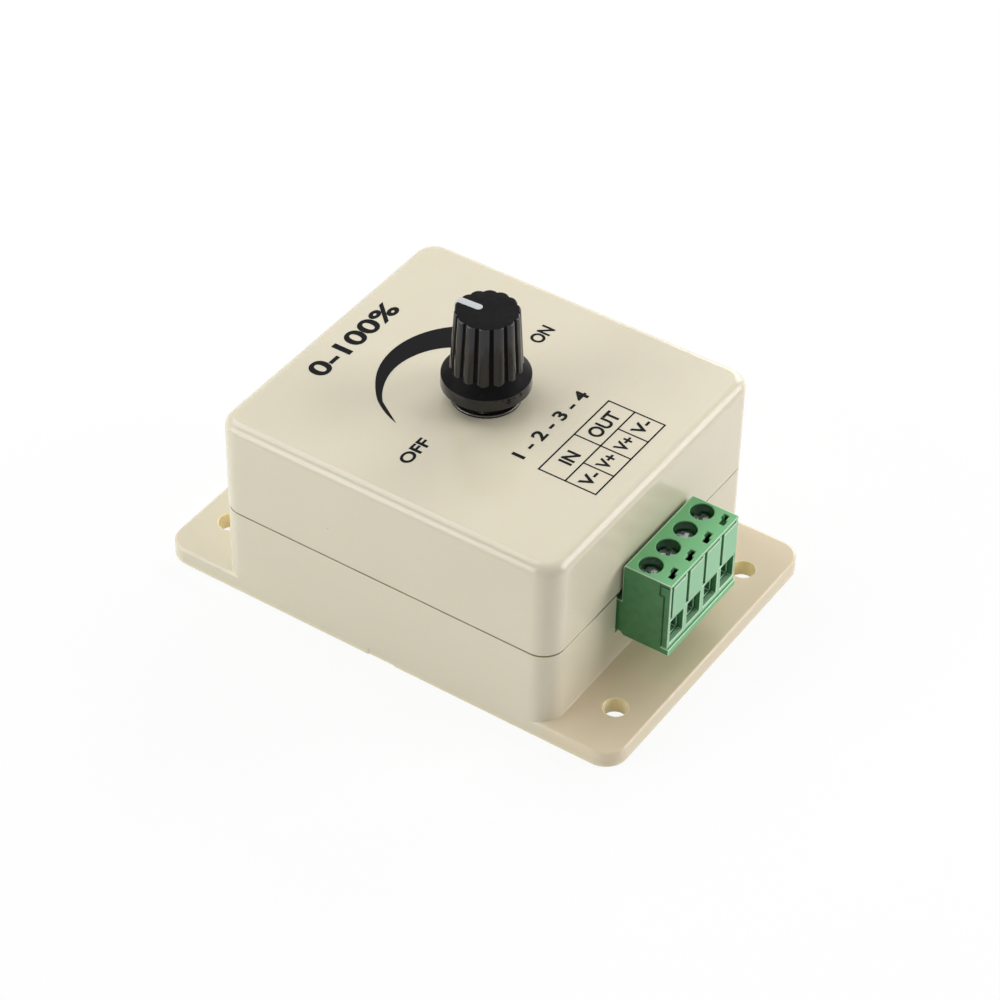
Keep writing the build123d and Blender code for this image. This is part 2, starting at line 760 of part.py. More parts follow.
# Contacts: a tongue in each cage and a pair of leaves round each header pin
with BuildPart() as plug_contacts:
    tongue_top = cage_bottom + cage_floor + cage_opening_height - tongue_under_cage
    tongue_front = well_y - cage_depth / 2
    web_front = well_y + cavity_depth / 2 + contact_gap
    leaf_bottom = pin_height - contact_height / 2
    for x in cell_x:
        with BuildSketch(level(tongue_top - contact_tongue)):
            with Locations((x, (tongue_front + web_front) / 2)):
                Rectangle(contact_width, web_front - tongue_front)
        extrude(amount=contact_tongue)
        with BuildSketch(level(leaf_bottom)):
            with Locations((x, web_front + contact_thickness / 2)):
                Rectangle(contact_width, contact_thickness)
        extrude(amount=tongue_top - leaf_bottom)
        with BuildSketch(level(leaf_bottom)):
            for side in (-1, 1):
                leaf_x = x + side * (header_pin_size / 2 + contact_gap + contact_thickness / 2)
                leaf_back = mating_end - contact_end_gap
                with Locations((leaf_x, (web_front + leaf_back) / 2)):
                    Rectangle(contact_thickness, leaf_back - web_front)
        extrude(amount=contact_height)
plug_contacts.part.label = "plug_contacts"
export_step(plug_contacts.part, "parts/plug_contacts.step")

# One captive screw and one rising cage for each pole
for number, x in enumerate(cell_x, start=1):
    with BuildPart() as clamp_screw:
        with BuildSketch(level(clamp_seat)):
            with Locations((x, well_y)):
                Circle(clamp_head_radius)
        extrude(amount=clamp_head)
        chamfer(clamp_screw.faces().sort_by(Axis.Z)[-1].edges(), clamp_head_edge)
        with BuildSketch(level(clamp_seat)):
            with Locations((x, well_y)):
                Circle(clamp_shank_radius)
        extrude(amount=-clamp_shank_length)
        with BuildSketch(level(clamp_head_top)):
            with Locations((x, well_y)):
                Rectangle(2 * clamp_head_radius, cross_recess_width)
                Rectangle(cross_recess_width, cross_recess_length)
        extrude(amount=-clamp_slot_depth, mode=Mode.SUBTRACT)
    clamp_screw.part.label = f"clamp_screw_{number}"
    export_step(clamp_screw.part, f"parts/clamp_screw_{number}.step")

    with BuildPart() as clamp_cage:
        with BuildSketch(level(cage_bottom)):
            with Locations((x, well_y)):
                Rectangle(cage_width, cage_depth)
        extrude(amount=cage_height)
        fillet(clamp_cage.edges().filter_by(Axis.Y), cage_corner)
        with BuildSketch(facing_front(x, well_y, cage_bottom + cage_floor)):
            with Locations((0, cage_opening_height / 2)):
                Rectangle(cage_opening_width, cage_opening_height)
        extrude(amount=cage_depth, both=True, mode=Mode.SUBTRACT)
        with BuildSketch(level(cage_bottom + cage_height)):
            with Locations((x, well_y)):
                Circle(clamp_shank_radius + thread_clearance)
        extrude(amount=-cage_height / 2, mode=Mode.SUBTRACT)
    clamp_cage.part.label = f"clamp_cage_{number}"
    export_step(clamp_cage.part, f"parts/clamp_cage_{number}.step")


def sector(inner, outer, middle, half_angle):
    """Sketch of a ring sector round the shaft."""
    steps = [middle - half_angle, middle, middle + half_angle]
    rays = [(math.cos(math.radians(a)), math.sin(math.radians(a))) for a in steps]
    with BuildSketch() as outline:
        with BuildLine():
            outer_arc = ThreePointArc(*[(outer * x, outer * y) for x, y in rays])
            inner_arc = ThreePointArc(*[(inner * x, inner * y) for x, y in rays])
            Line(outer_arc @ 0, inner_arc @ 0)
            Line(outer_arc @ 1, inner_arc @ 1)
        make_face()
    return outline.sketch


# Potentiometer front: plate, threaded bushing, end stop and locating tab
with BuildPart() as pot_bushing:
    with BuildSketch(at_shaft(plate_bottom)):
        Circle(pot_plate_radius)
    extrude(amount=pot_plate)
    with BuildSketch(at_shaft(lid_underside)):
        Circle(bushing_radius)
    extrude(amount=bushing_length)
    chamfer(pot_bushing.faces().sort_by(Axis.Z)[-1].edges(), bushing_edge)
    with BuildSketch(at_shaft(lid_underside)):
        with Locations((-locating_tab_radius, 0)):
            Rectangle(locating_tab_thickness, locating_tab_width)
    extrude(amount=locating_tab_height)
    with BuildSketch(at_shaft(plate_bottom)):
        add(sector(rotor_radius + 2 * wiper_gap, nose_reach, stop_angle, stop_half_angle))
    extrude(amount=-(plate_bottom - rotor_bottom))
    with BuildSketch(at_shaft(plate_bottom)):
        Circle(shaft_radius + shaft_clearance)
    extrude(amount=bushing_top, mode=Mode.SUBTRACT)
pot_bushing.part.label = "pot_bushing"
export_step(pot_bushing.part, "parts/pot_bushing.step")

# Pressed cover of the potentiometer, with the slot for the wafer
with BuildPart() as pot_can:
    with BuildSketch(at_shaft(can_bottom)):
        Circle(pot_can_radius)
    extrude(amount=pot_can_height)
    fillet(pot_can.faces().sort_by(Axis.Z)[0].edges(), pot_can_wall)
    with BuildSketch(at_shaft(can_bottom + pot_can_wall)):
        Circle(pot_can_radius - pot_can_wall)
    extrude(amount=pot_can_height, mode=Mode.SUBTRACT)
    with BuildSketch(at_shaft(wafer_bottom - wiper_gap)):
        with Locations((0, pot_can_radius)):
            Rectangle(wafer_tongue_width + 2 * wiper_gap, pot_can_radius)
    extrude(amount=wafer + pot_lug_thickness + 2 * wiper_gap, mode=Mode.SUBTRACT)
pot_can.part.label = "pot_can"
export_step(pot_can.part, "parts/pot_can.step")

# Wafer with the resistance track, and the three lugs riveted to its tongue
with BuildPart() as pot_wafer:
    with BuildSketch(at_shaft(wafer_bottom)):
        Circle(pot_can_radius - pot_can_wall - wiper_gap / 2)
        with Locations((0, wafer_tongue_reach / 2)):
            Rectangle(wafer_tongue_width, wafer_tongue_reach)
        Circle(rivet_radius, mode=Mode.SUBTRACT)
        for x in lug_x:
            with Locations((x, (pot_can_radius + wafer_tongue_reach) / 2)):
                Circle(rivet_radius, mode=Mode.SUBTRACT)
    extrude(amount=wafer)
pot_wafer.part.label = "pot_wafer"
export_step(pot_wafer.part, "parts/pot_wafer.step")

with BuildPart() as pot_terminals:
    lug_start = pot_can_radius + 2 * wiper_gap
    for x in lug_x:
        with BuildSketch(at_shaft(wafer_top)):
            with Locations((x, (lug_start + pot_lug_reach) / 2)):
                Rectangle(pot_lug_width, pot_lug_reach - lug_start)
            with Locations((x, pot_lug_reach - lug_hole_inset)):
                Circle(pot_lug_hole, mode=Mode.SUBTRACT)
        extrude(amount=pot_lug_thickness)
        with BuildSketch(at_shaft(wafer_bottom - pot_lug_thickness)):
            with Locations((x, (pot_can_radius + wafer_tongue_reach) / 2)):
                Circle(rivet_radius)
        extrude(amount=wafer + 2 * pot_lug_thickness)
        with BuildSketch(at_shaft(wafer_bottom)):
            with Locations((x, (pot_can_radius + wafer_tongue_reach) / 2)):
                Circle(rivet_head_radius)
        extrude(amount=-pot_lug_thickness)
pot_terminals.part.label = "pot_terminals"
export_step(pot_terminals.part, "parts/pot_terminals.step")

# Three insulated leads from the lugs down to the board
with BuildPart() as pot_leads:
    for x in lug_x:
        with BuildSketch(level(board_top)):
            with Locations((x, lug_y)):
                Circle(lead_radius)
        extrude(amount=wafer_top - board_top)
        with BuildSketch(level(board_bottom - lead_tail)):
            with Locations((x, lug_y)):
                Circle(lead_core_radius)
        extrude(amount=wafer_top + pot_lug_thickness + lead_tail - board_bottom + lead_tail)
pot_leads.part.label = "pot_leads"
export_step(pot_leads.part, "parts/pot_leads.step")

# Shaft: foot in the rotor, plain journal, clip groove and knurled slotted end
with BuildPart() as pot_shaft:
    with BuildSketch(at_shaft(rotor_bottom)):
        Circle(shaft_foot_radius)
    extrude(amount=rotor_height + 2 * wiper_gap)
    with BuildSketch(at_shaft(rotor_bottom + rotor_height + wiper_gap)):
        Circle(shaft_radius)
    extrude(amount=shaft_top - knurl_length - rotor_bottom - rotor_height - wiper_gap)
    with BuildSketch(at_shaft(clip_bottom - clip_clearance / 2)):
        Circle(shaft_radius + shaft_clearance)
        Circle(clip_groove_radius, mode=Mode.SUBTRACT)
    extrude(amount=clip_thickness + clip_clearance, mode=Mode.SUBTRACT)
    with BuildSketch(at_shaft(shaft_top)):
        Circle(knurl_root)
        with PolarLocations(knurl_root, knurl_count):
            Rectangle(knurl_tooth, knurl_tooth, rotation=45)
    extrude(amount=-knurl_length)
    with BuildSketch(at_shaft(shaft_top)):
        Rectangle(3 * shaft_radius, shaft_slot)
    extrude(amount=-knurl_length, mode=Mode.SUBTRACT)
pot_shaft.part.label = "pot_shaft"
export_step(pot_shaft.part, "parts/pot_shaft.step")

# Rotor on the foot of the shaft, with the nose that meets the end stop
with BuildPart() as pot_rotor:
    with BuildSketch(at_shaft(rotor_bottom)):
        Circle(rotor_radius)
    extrude(amount=rotor_height)
    with BuildSketch(at_shaft(rotor_bottom)):
        add(sector(rotor_radius - 2 * wiper_gap, nose_reach, pointer_angle, nose_half_angle))
    extrude(amount=rotor_height)
    with BuildSketch(at_shaft(rotor_bottom)):
        Circle(shaft_foot_radius)
    extrude(amount=rotor_height, mode=Mode.SUBTRACT)
pot_rotor.part.label = "pot_rotor"
export_step(pot_rotor.part, "parts/pot_rotor.step")

# Spring wiper under the rotor with its two fingers on the track
with BuildPart() as pot_wiper:
    wiper_outer = rotor_radius - wiper_inset
    wiper_inner = shaft_foot_radius + rivet_radius
    with BuildSketch(at_shaft(rotor_bottom)):
        Circle(wiper_outer)
        Circle(wiper_inner, mode=Mode.SUBTRACT)
    extrude(amount=-wiper_thickness)
    for angle in (pointer_angle - finger_angle, pointer_angle + finger_angle):
        with BuildSketch(at_shaft(rotor_bottom)):
            finger_ring = (wiper_inner + wiper_thickness, wiper_outer - wiper_thickness)
            add(sector(*finger_ring, angle, finger_half_angle))
        extrude(amount=-(rotor_lift - wiper_gap))
pot_wiper.part.label = "pot_wiper"
export_step(pot_wiper.part, "parts/pot_wiper.step")

# Open ring that keeps the shaft in the bushing
with BuildPart() as shaft_clip:
    with BuildSketch(at_shaft(clip_bottom)):
        Circle(clip_radius)
        Circle(clip_groove_radius + clip_clearance, mode=Mode.SUBTRACT)
        with Locations((0, -clip_radius)):
            mouth_width = 2 * clip_radius * math.sin(math.radians(clip_mouth / 2))
            Rectangle(mouth_width, 2 * clip_radius, mode=Mode.SUBTRACT)
    extrude(amount=clip_thickness)
shaft_clip.part.label = "shaft_clip"
export_step(shaft_clip.part, "parts/shaft_clip.step")

with BuildPart() as pot_washer:
    with BuildSketch(at_shaft(case_height)):
        Circle(washer_radius)
        Circle(bushing_radius + bushing_hole_clearance, mode=Mode.SUBTRACT)
    extrude(amount=washer_thickness)
    chamfer(pot_washer.edges().group_by(Axis.Z)[-1].sort_by(SortBy.LENGTH)[-1], washer_edge)
pot_washer.part.label = "pot_washer"
export_step(pot_washer.part, "parts/pot_washer.step")

# Hexagon nut with its corners turned off above and below
with BuildPart() as pot_nut:
    nut_bottom = case_height + washer_thickness
    nut_corner = nut_across_flats / math.sqrt(3)
    with BuildSketch(at_shaft(nut_bottom)):
        RegularPolygon(radius=nut_corner, side_count=6, rotation=nut_turn)
    extrude(amount=nut_thickness)
    with BuildSketch(facing_front(0, shaft_y, nut_bottom)):
        with BuildLine():
            turned = nut_corner - nut_across_flats / 2
            Polyline((0, 0), (nut_across_flats / 2, 0), (nut_corner, turned / 2),
                     (nut_corner, nut_thickness - turned / 2), (nut_across_flats / 2, nut_thickness),
                     (0, nut_thickness), close=True)
        make_face()
    revolve(axis=shaft_axis, mode=Mode.INTERSECT)
    with BuildSketch(at_shaft(nut_bottom)):
        Circle(bushing_radius + shaft_clearance)
    extrude(amount=nut_thickness, mode=Mode.SUBTRACT)
pot_nut.part.label = "pot_nut"
export_step(pot_nut.part, "parts/pot_nut.step")

# Pointer: an inlaid bar over the top of the knob and down its side
pointer_ray = Vector(math.cos(math.radians(pointer_angle)), math.sin(math.radians(pointer_angle)), 0)
pointer_plane = Plane((0, shaft_y, 0), x_dir=pointer_ray, z_dir=pointer_ray.cross(Vector(0, 0, 1)))
flute_slope = (knob_flute_foot_radius - knob_top_radius) / (knob_height - knob_flute_foot)
pointer_bottom = knob_bottom + pointer_foot
with BuildPart() as knob_pointer:
    with BuildSketch(pointer_plane):
        with BuildLine():
            edge_top = knob_top_radius + pointer_proud
            edge_foot = edge_top + flute_slope * (knob_top - pointer_bottom)
            Polyline((pointer_start, knob_top + pointer_above), (edge_top, knob_top + pointer_above),
                     (edge_foot, pointer_bottom), (edge_foot - pointer_side, pointer_bottom),
                     (edge_top - pointer_side, knob_top - pointer_depth),
                     (pointer_start, knob_top - pointer_depth), close=True)
        make_face()
    extrude(amount=pointer_width / 2, both=True)
    fillet(knob_pointer.edges().filter_by(Axis.Z), pointer_width / 2 - fillet_margin)
    fillet(knob_pointer.edges().group_by(Axis.Z)[-1].sort_by(Axis.Y)[-1], pointer_corner)
knob_pointer.part.label = "knob_pointer"
export_step(knob_pointer.part, "parts/knob_pointer.step")


def lobes(peak_radius):
    """Sketch of the fluted section: round lobes on a core."""
    Circle(core_share * peak_radius)
    first_lobe = pointer_angle + 180 / lobe_count
    with PolarLocations((1 - lobe_share) * peak_radius, lobe_count, start_angle=first_lobe):
        Circle(lobe_share * peak_radius)


# Knob: turned skirt and cone, tapered flutes, recess over the nut, bore
with BuildPart() as knob:
    with BuildSketch(facing_front(0, shaft_y, knob_bottom)):
        with BuildLine():
            Polyline((0, 0), (skirt_radius, 0), (skirt_top_radius, skirt_height),
                     (cone_top_radius, cone_height), (0, cone_height), close=True)
        make_face()
    revolve(axis=shaft_axis)
    with BuildSketch(at_shaft(knob_bottom + knob_flute_foot)):
        lobes(knob_flute_foot_radius)
    with BuildSketch(at_shaft(knob_top)):
        lobes(knob_top_radius)
    loft(ruled=True)
    with BuildSketch(at_shaft(knob_bottom)):
        Circle(knob_recess_radius)
    extrude(amount=knob_recess_depth, mode=Mode.SUBTRACT)
    with BuildSketch(at_shaft(knob_bottom)):
        Circle(clip_recess_radius)
    extrude(amount=clip_recess_depth, mode=Mode.SUBTRACT)
    with BuildSketch(at_shaft(knob_bottom)):
        Circle(shaft_radius + shaft_clearance)
    extrude(amount=knob_height - knob_cap, mode=Mode.SUBTRACT)
    add(knob_pointer.part, mode=Mode.SUBTRACT)
knob.part.label = "knob"
export_step(knob.part, "parts/knob.step")
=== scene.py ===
"""Rotary dimmer for low-voltage lamps: finishes, print and fine detail, with a plain studio."""
import json
import math

import bmesh
import bpy
from bpy.props import FloatProperty, FloatVectorProperty, IntProperty, PointerProperty, StringProperty
from bpy.types import Operator, Panel, PropertyGroup
from mathutils import Matrix, Vector


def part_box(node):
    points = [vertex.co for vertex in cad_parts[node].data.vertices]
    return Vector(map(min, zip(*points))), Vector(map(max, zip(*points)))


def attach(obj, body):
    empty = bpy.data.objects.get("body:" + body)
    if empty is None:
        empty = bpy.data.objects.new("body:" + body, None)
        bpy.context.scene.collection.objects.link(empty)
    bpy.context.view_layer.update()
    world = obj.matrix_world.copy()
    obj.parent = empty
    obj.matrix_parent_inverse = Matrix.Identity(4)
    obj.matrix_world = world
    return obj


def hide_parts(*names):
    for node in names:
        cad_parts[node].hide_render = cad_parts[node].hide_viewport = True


bl_info = {
    "name": "Rotary dimmer",
    "version": (1, 0, 0),
    "blender": (4, 5, 0),
    "location": "View3D > Sidebar > Dimmer",
    "description": "Dresses the packed rotary dimmer with its finishes, print and fine detail",
    "category": "Object",
}

MM = 0.001
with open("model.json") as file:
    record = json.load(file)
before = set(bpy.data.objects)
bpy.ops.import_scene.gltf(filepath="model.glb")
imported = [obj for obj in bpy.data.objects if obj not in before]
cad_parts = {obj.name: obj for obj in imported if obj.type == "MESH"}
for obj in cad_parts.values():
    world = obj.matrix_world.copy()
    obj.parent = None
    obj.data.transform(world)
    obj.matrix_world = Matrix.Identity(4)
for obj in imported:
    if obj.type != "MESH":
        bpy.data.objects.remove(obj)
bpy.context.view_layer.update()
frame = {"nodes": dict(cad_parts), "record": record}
BODIES = frame["record"]["behaviour"]["bodies"]
BODY_OF = {node: body for body, nodes in BODIES.items() for node in nodes}
SHAFT = Vector((0, sum(corner.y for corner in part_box("knob")) / 2, 0))
LID_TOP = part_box("lid")[1].z
POLES = [sum(corner.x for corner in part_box(f"clamp_screw_{pole}")) / 2 for pole in range(1, 5)]
SCREW_TURNS = (70, 25, 100, 50)
PLASTIC_IOR = 1.5
TINNED = (0.66, 0.64, 0.60)
ZINC = (0.66, 0.66, 0.66)


def a_length(name, size, about):
    """Setting for a length, given in mm."""
    return FloatProperty(name=name, unit="LENGTH", default=size * MM, description=about)


def an_angle(name, degrees, about):
    """Setting for an angle, given in degrees."""
    return FloatProperty(name=name, subtype="ANGLE", default=math.radians(degrees), description=about)


def a_share(name, value, about):
    """Setting for a share from 0 to 1."""
    return FloatProperty(name=name, subtype="FACTOR", default=value, min=0, max=1, description=about)


def a_colour(name, colour, about):
    """Setting for a colour."""
    return FloatVectorProperty(name=name, subtype="COLOR", default=colour, description=about)


def a_power(name, watts):
    """Setting for the power of a lamp."""
    return FloatProperty(name=name, default=watts, description=f"Power of the {name.lower()} in W")


class CaseSettings(PropertyGroup):
    """Finish of the moulded case"""
    colour: a_colour("Colour", (0.74, 0.675, 0.525), "Colour of the case moulding")
    # Painted warm shade on the flange in front of the plug's wall.
    flange_warm_shade_colour: a_colour("Flange", (0.79, 0.670, 0.485), "Colour of the flange below the plug")
    # Painted warm light from the floor along the case's foot.
    foot_floor_light_colour: a_colour("Foot", (0.86, 0.79, 0.50), "Colour of the case just over the floor")
    # Painted warm light on the walls of the mounting holes.
    hole_wall_light_colour: a_colour("Hole walls", (1.0, 0.87, 0.54), "Colour of the walls of the mounting holes")
    # Painted shade in the parting groove between base and lid.
    groove_shade_colour: a_colour("Groove", (0.27, 0.20, 0.07), "Colour in the groove between base and lid")
    roughness: a_share("Roughness", 0.19, "How matt the case moulding is")
    edge: a_length("Edge radius", 0.12, "Radius on the edges of the case that the mould leaves sharp")
    groove: a_length("Parting shade", 0.2, "Half the width of the dark band in the groove")


class PrintSettings(PropertyGroup):
    """Print on the lid"""
    colour: a_colour("Ink", (0.0055, 0.005, 0.0055), "Colour of the print")
    thickness: a_length("Ink thickness", 0.02, "How far the ink stands proud")
    scale_text: StringProperty(
        name="Scale text", default="0-100%", description="Numbers along the far edge of the lid")
    terminal_text: StringProperty(
        name="Terminal text", default="1 - 2 - 3 - 4", description="Numbers of the terminals")
    line: a_length("Table line", 0.27, "Width of the table's lines")
    weight: FloatProperty(name="Letter weight", default=0.028, description="How bold the letters are")


class KnobSettings(PropertyGroup):
    """Fluted knob"""
    colour: a_colour("Colour", (0.0045, 0.0040, 0.0043), "Colour of the knob")
    pointer_colour: a_colour("Pointer", (0.55, 0.56, 0.57), "Colour of the pointer's inlay")
    pointer_edge: a_length("Pointer edge", 0.14, "Radius on the pointer's edges")
    lobes: IntProperty(name="Lobes", default=14, min=3, description="Number of lobes round the grip")
    lobe_share: a_share("Lobe share", 0.263, "Radius of a lobe as a share of the grip's radius")
    notch_share: a_share("Notch share", 0.15, "Matt part of a lobe on each side")
    first_notch: an_angle("First notch", 93, "Where a notch lies")
    top_radius: a_length("Top radius", 5.27, "Radius over the lobes at the top")
    foot_radius: a_length("Foot radius", 5.98, "Radius over the lobes at their foot")
    skirt_height: a_length("Skirt height", 2.05, "Height of the round skirt")
    flute_foot: a_length("Flute foot", 2.76, "Height at which the lobes start")
    cone_radius: a_length("Cone radius", 5.55, "Radius at the top of the cone")
    cone_height: a_length("Cone height", 4.11, "Height of the cone's top over the foot")
    nut_recess: a_length("Nut recess", 2.46, "Depth of the recess over the nut")
    nut_recess_radius: a_length("Nut recess radius", 5.9, "Radius of the recess over the nut")
    clip_recess: a_length("Clip recess", 3.71, "Depth of the recess over the clip")
    clip_recess_radius: a_length("Clip recess radius", 4.8, "Radius of the recess over the clip")
    bore_radius: a_length("Bore radius", 3.05, "Radius of the bore for the shaft")
    cap: a_length("Cap", 2.0, "Thickness of the top over the bore")
    edge: a_length("Edge radius", 0.18, "Radius on the knob's edges")
    foot_edge: a_length("Foot edge radius", 0.2, "Radius inside the foot")
    lean: a_length("Skirt lean", 0.08, "How far the skirt leans in at its top")


class PlugSettings(PropertyGroup):
    """Pluggable terminal"""
    housing_colour: a_colour("Housing", (0.15, 0.47, 0.19), "Colour of the housing")
    # Painted shade on the plug's side faces; the header takes this colour as its own.
    shaded_side_and_header_colour: a_colour("Side faces", (0.06, 0.23, 0.085), "Colour of the side faces")
    # Painted shade down in the screw wells; the seams take this colour as a dark joint too.
    well_shade_and_seam_colour: a_colour("Wells", (0.02, 0.10, 0.03), "Colour down in the screw wells")
    cover_colour: a_colour("Front cover", (0.30, 0.58, 0.34), "Colour of the front cover")
    # Painted highlight on the plug's rounded edges.
    edge_highlight_colour: a_colour("Edges", (0.60, 0.82, 0.62), "Colour of the worn edges")
    edge: a_length("Edge radius", 0.14, "Radius on the plug's edges")
    window_top: a_length("Window top", 5.4, "Top of the windows over the cover's foot")
    groove_foot: a_length("Groove foot", 5.75, "Where the grooves start over the cover's foot")
    groove_width: a_length("Groove width", 0.86, "Width of the groove beside a panel")
    groove_depth: a_length("Groove depth", 0.75, "Depth of the grooves round a panel")
    groove_top: a_length("Top groove", 0.42, "Height of the groove over a panel")
    seam_depth: a_length("Cover depth", 1.12, "Where the cover's seam lies behind its front")


class ClampSettings(PropertyGroup):
    """Slotted screws of the clamps"""
    head_height: a_length("Head height", 1.3, "Height of a screw's head")
    shank_radius: a_length("Shank radius", 1.12, "Radius of a screw's shank in the thread")
    pitch: a_length("Thread pitch", 0.45, "Pitch of the thread")
    slot_width: a_length("Slot width", 0.7, "Width of the slot")
    slot_depth: a_length("Slot depth", 0.65, "Depth of the slots")
    cross_length: a_length("Cross length", 2.2, "Length of the short slot across the long one")


class StudioSettings(PropertyGroup):
    """Camera and light"""
    azimuth: an_angle("Azimuth", -56.046, "Turn of the camera about the upright axis")
    elevation: an_angle("Elevation", 41.112, "Angle of the camera over the floor")
    roll: an_angle("Roll", 0.73, "Tilt of the picture")
    distance: a_length("Distance", 534.584, "Distance of the camera")
    aim: FloatVectorProperty(
        name="Aim", subtype="XYZ", unit="LENGTH", default=(4.926 * MM, 6.799 * MM, 9.033 * MM),
        description="Point that the camera looks at")
    lens: FloatProperty(name="Lens", default=115.906, description="Focal length on a 36 mm sensor, in mm")
    shift: FloatVectorProperty(
        name="Shift", size=2, default=(0.03173, -0.01361), description="Shift of the picture")
    sky: FloatProperty(name="Sky", default=0.2, description="Strength of the light from all round")
    overhead: a_power("Overhead lamp", 2.6)
    left: a_power("Left lamp", 2.95)
    right: a_power("Right lamp", 3.37)
    front: a_power("Front lamp", 3.78)


def by_name(kind):
    """Settings of one kind, as they stand in the scene."""
    return getattr(bpy.context.scene, kind)


class Wires:
    """Adds nodes to a tree, each with its settings and what its sockets take."""

    def __init__(self, tree):
        self.tree = tree

    def add(self, kind, inputs=None, **settings):
        node = self.tree.nodes.new(kind)
        for setting, value in settings.items():
            setattr(node, setting, value)
        self.fill(node, inputs or {})
        return node

    def fill(self, node, inputs):
        for socket, value in inputs.items():
            if isinstance(value, bpy.types.NodeSocket):
                self.tree.links.new(value, node.inputs[socket])
            elif value is not None:
                node.inputs[socket].default_value = value

    def maths(self, operation, *values):
        return self.add("ShaderNodeMath", dict(enumerate(values)), operation=operation).outputs[0]

    def plus(self, first, second):
        return self.maths("ADD", first, second)

    def minus(self, first, second):
        return self.maths("SUBTRACT", first, second)

    def times(self, first, second):
        return self.maths("MULTIPLY", first, second)

    def parts(self, vector):
        return self.add("ShaderNodeSeparateXYZ", {"Vector": vector}).outputs

    def vector(self, **parts):
        return self.add("ShaderNodeCombineXYZ", parts).outputs[0]

    def bump(self, height, distance, normal=None):
        node = self.add("ShaderNodeBump", {
            "Height": height, "Strength": 1.0, "Distance": distance, "Normal": normal})
        return node.outputs["Normal"]

    def shape(self, kind, inputs=None, **settings):
        return self.add(f"GeometryNode{kind}", inputs, **settings).outputs[0]

    def lifted(self, shape, height):
        return self.shape("Transform", {"Geometry": shape, "Translation": self.vector(Z=height)})

    def either(self, test, yes, no=None):
        return self.shape("Switch", {"Switch": test, "True": yes, "False": no}, input_type="GEOMETRY")

    def joined(self, shapes):
        node = self.add("GeometryNodeJoinGeometry")
        for shape in shapes:
            self.tree.links.new(shape, node.inputs[0])
        return node.outputs[0]

    def distance(self, across, along):
        squares = [self.times(leg, leg) for leg in (across, along)]
        return self.maths("SQRT", self.plus(*squares))

    def seen(self):
        """1 for the rays that show the background: from the camera, reflected or through glass."""
        rays = self.add("ShaderNodeLightPath").outputs
        direct = self.maths("MAXIMUM", rays["Is Camera Ray"], rays["Is Glossy Ray"])
        return self.maths("MAXIMUM", direct, rays["Is Transmission Ray"])

    def blend(self, factor, low, high):
        mix = self.add("ShaderNodeMix", {"Factor": factor, 6: low, 7: high}, data_type="RGBA")
        return mix.outputs[2]

    def remap(self, value, from_low, from_high, to_low=0, to_high=1):
        node = self.add("ShaderNodeMapRange", {
            "Value": value, "From Min": from_low, "From Max": from_high,
            "To Min": to_low, "To Max": to_high})
        return node.outputs["Result"]


def rgba(colour, lighter=1.0):
    """Colour with full alpha, made lighter or darker."""
    return (*[min(1.0, part * lighter) for part in colour], 1.0)


def new_material(name):
    """Empty material, its wires and its principled shader."""
    material = bpy.data.materials.new(name)
    material.use_nodes = True
    wires = Wires(material.node_tree)
    return material, wires, wires.tree.nodes["Principled BSDF"]


def new_finish(name):
    """Empty material, its wires, its principled shader and the object's coordinates."""
    material, wires, shader = new_material(name)
    return material, wires, shader, wires.add("ShaderNodeTexCoord").outputs["Object"]


def noise(wires, place, size, detail=2.0):
    """Noise whose lumps are about a given size in metres."""
    node = wires.add("ShaderNodeTexNoise", {"Vector": place, "Scale": 1 / size, "Detail": detail})
    return node.outputs["Fac"]


def moulded(name, colour, roughness, mottle=0.04, wave=0.02 * MM, grain=0.0, specks=0.0, under=0.0,
            specular=0.5, painted_light_and_shade=None):
    """Moulded plastic: faint mottling, sinks in the gloss, fine grain, specks and light under the skin.

    The last argument is a function that lays painted light and shade over the base colour."""
    cloud_size, sheen_size, wave_size, grain_size = 14 * MM, 6 * MM, 9 * MM, 0.35 * MM
    sheen_change, grain_change = 0.03, 0.02
    speck_spacing, speck_radius, speck_strength, speck_shade = 5 * MM, 0.028, 0.55, 0.25
    under_colour, under_depth = (1.0, 0.62, 0.30), 1.2 * MM
    material, wires, shader, place = new_finish(name)
    cloud = wires.remap(noise(wires, place, cloud_size, 3.0), 0.3, 0.7)
    base = wires.blend(cloud, rgba(colour, 1 - mottle), rgba(colour, 1 + mottle))
    # Painted light and shade, when given, go over the mottled base colour.
    if painted_light_and_shade:
        base = painted_light_and_shade(wires, place, base)
    if specks:
        cells = wires.add("ShaderNodeTexVoronoi", {"Vector": place, "Scale": 1 / speck_spacing})
        near = wires.maths("LESS_THAN", cells.outputs["Distance"], speck_radius)
        draw = wires.add("ShaderNodeSeparateColor", {"Color": cells.outputs["Color"]}).outputs[0]
        chosen = wires.times(wires.maths("LESS_THAN", draw, specks), speck_strength)
        base = wires.blend(wires.times(near, chosen), base, rgba(colour, speck_shade))
    uneven = wires.remap(noise(wires, place, sheen_size), 0.3, 0.7, -sheen_change, sheen_change)
    sheen = wires.plus(uneven, roughness)
    skin = wires.bump(noise(wires, place, wave_size, 1.0), wave)
    if grain:
        fine = noise(wires, place, grain_size, 4.0)
        sheen = wires.plus(sheen, wires.remap(fine, 0, 1, -grain_change, grain_change))
        skin = wires.bump(fine, grain, skin)
    wires.fill(shader, {
        "Base Color": base, "Roughness": sheen, "Normal": skin, "IOR": PLASTIC_IOR,
        "Specular IOR Level": specular})
    if under:
        wires.fill(shader, {
            "Subsurface Weight": under, "Subsurface Radius": under_colour, "Subsurface Scale": under_depth})
    return material


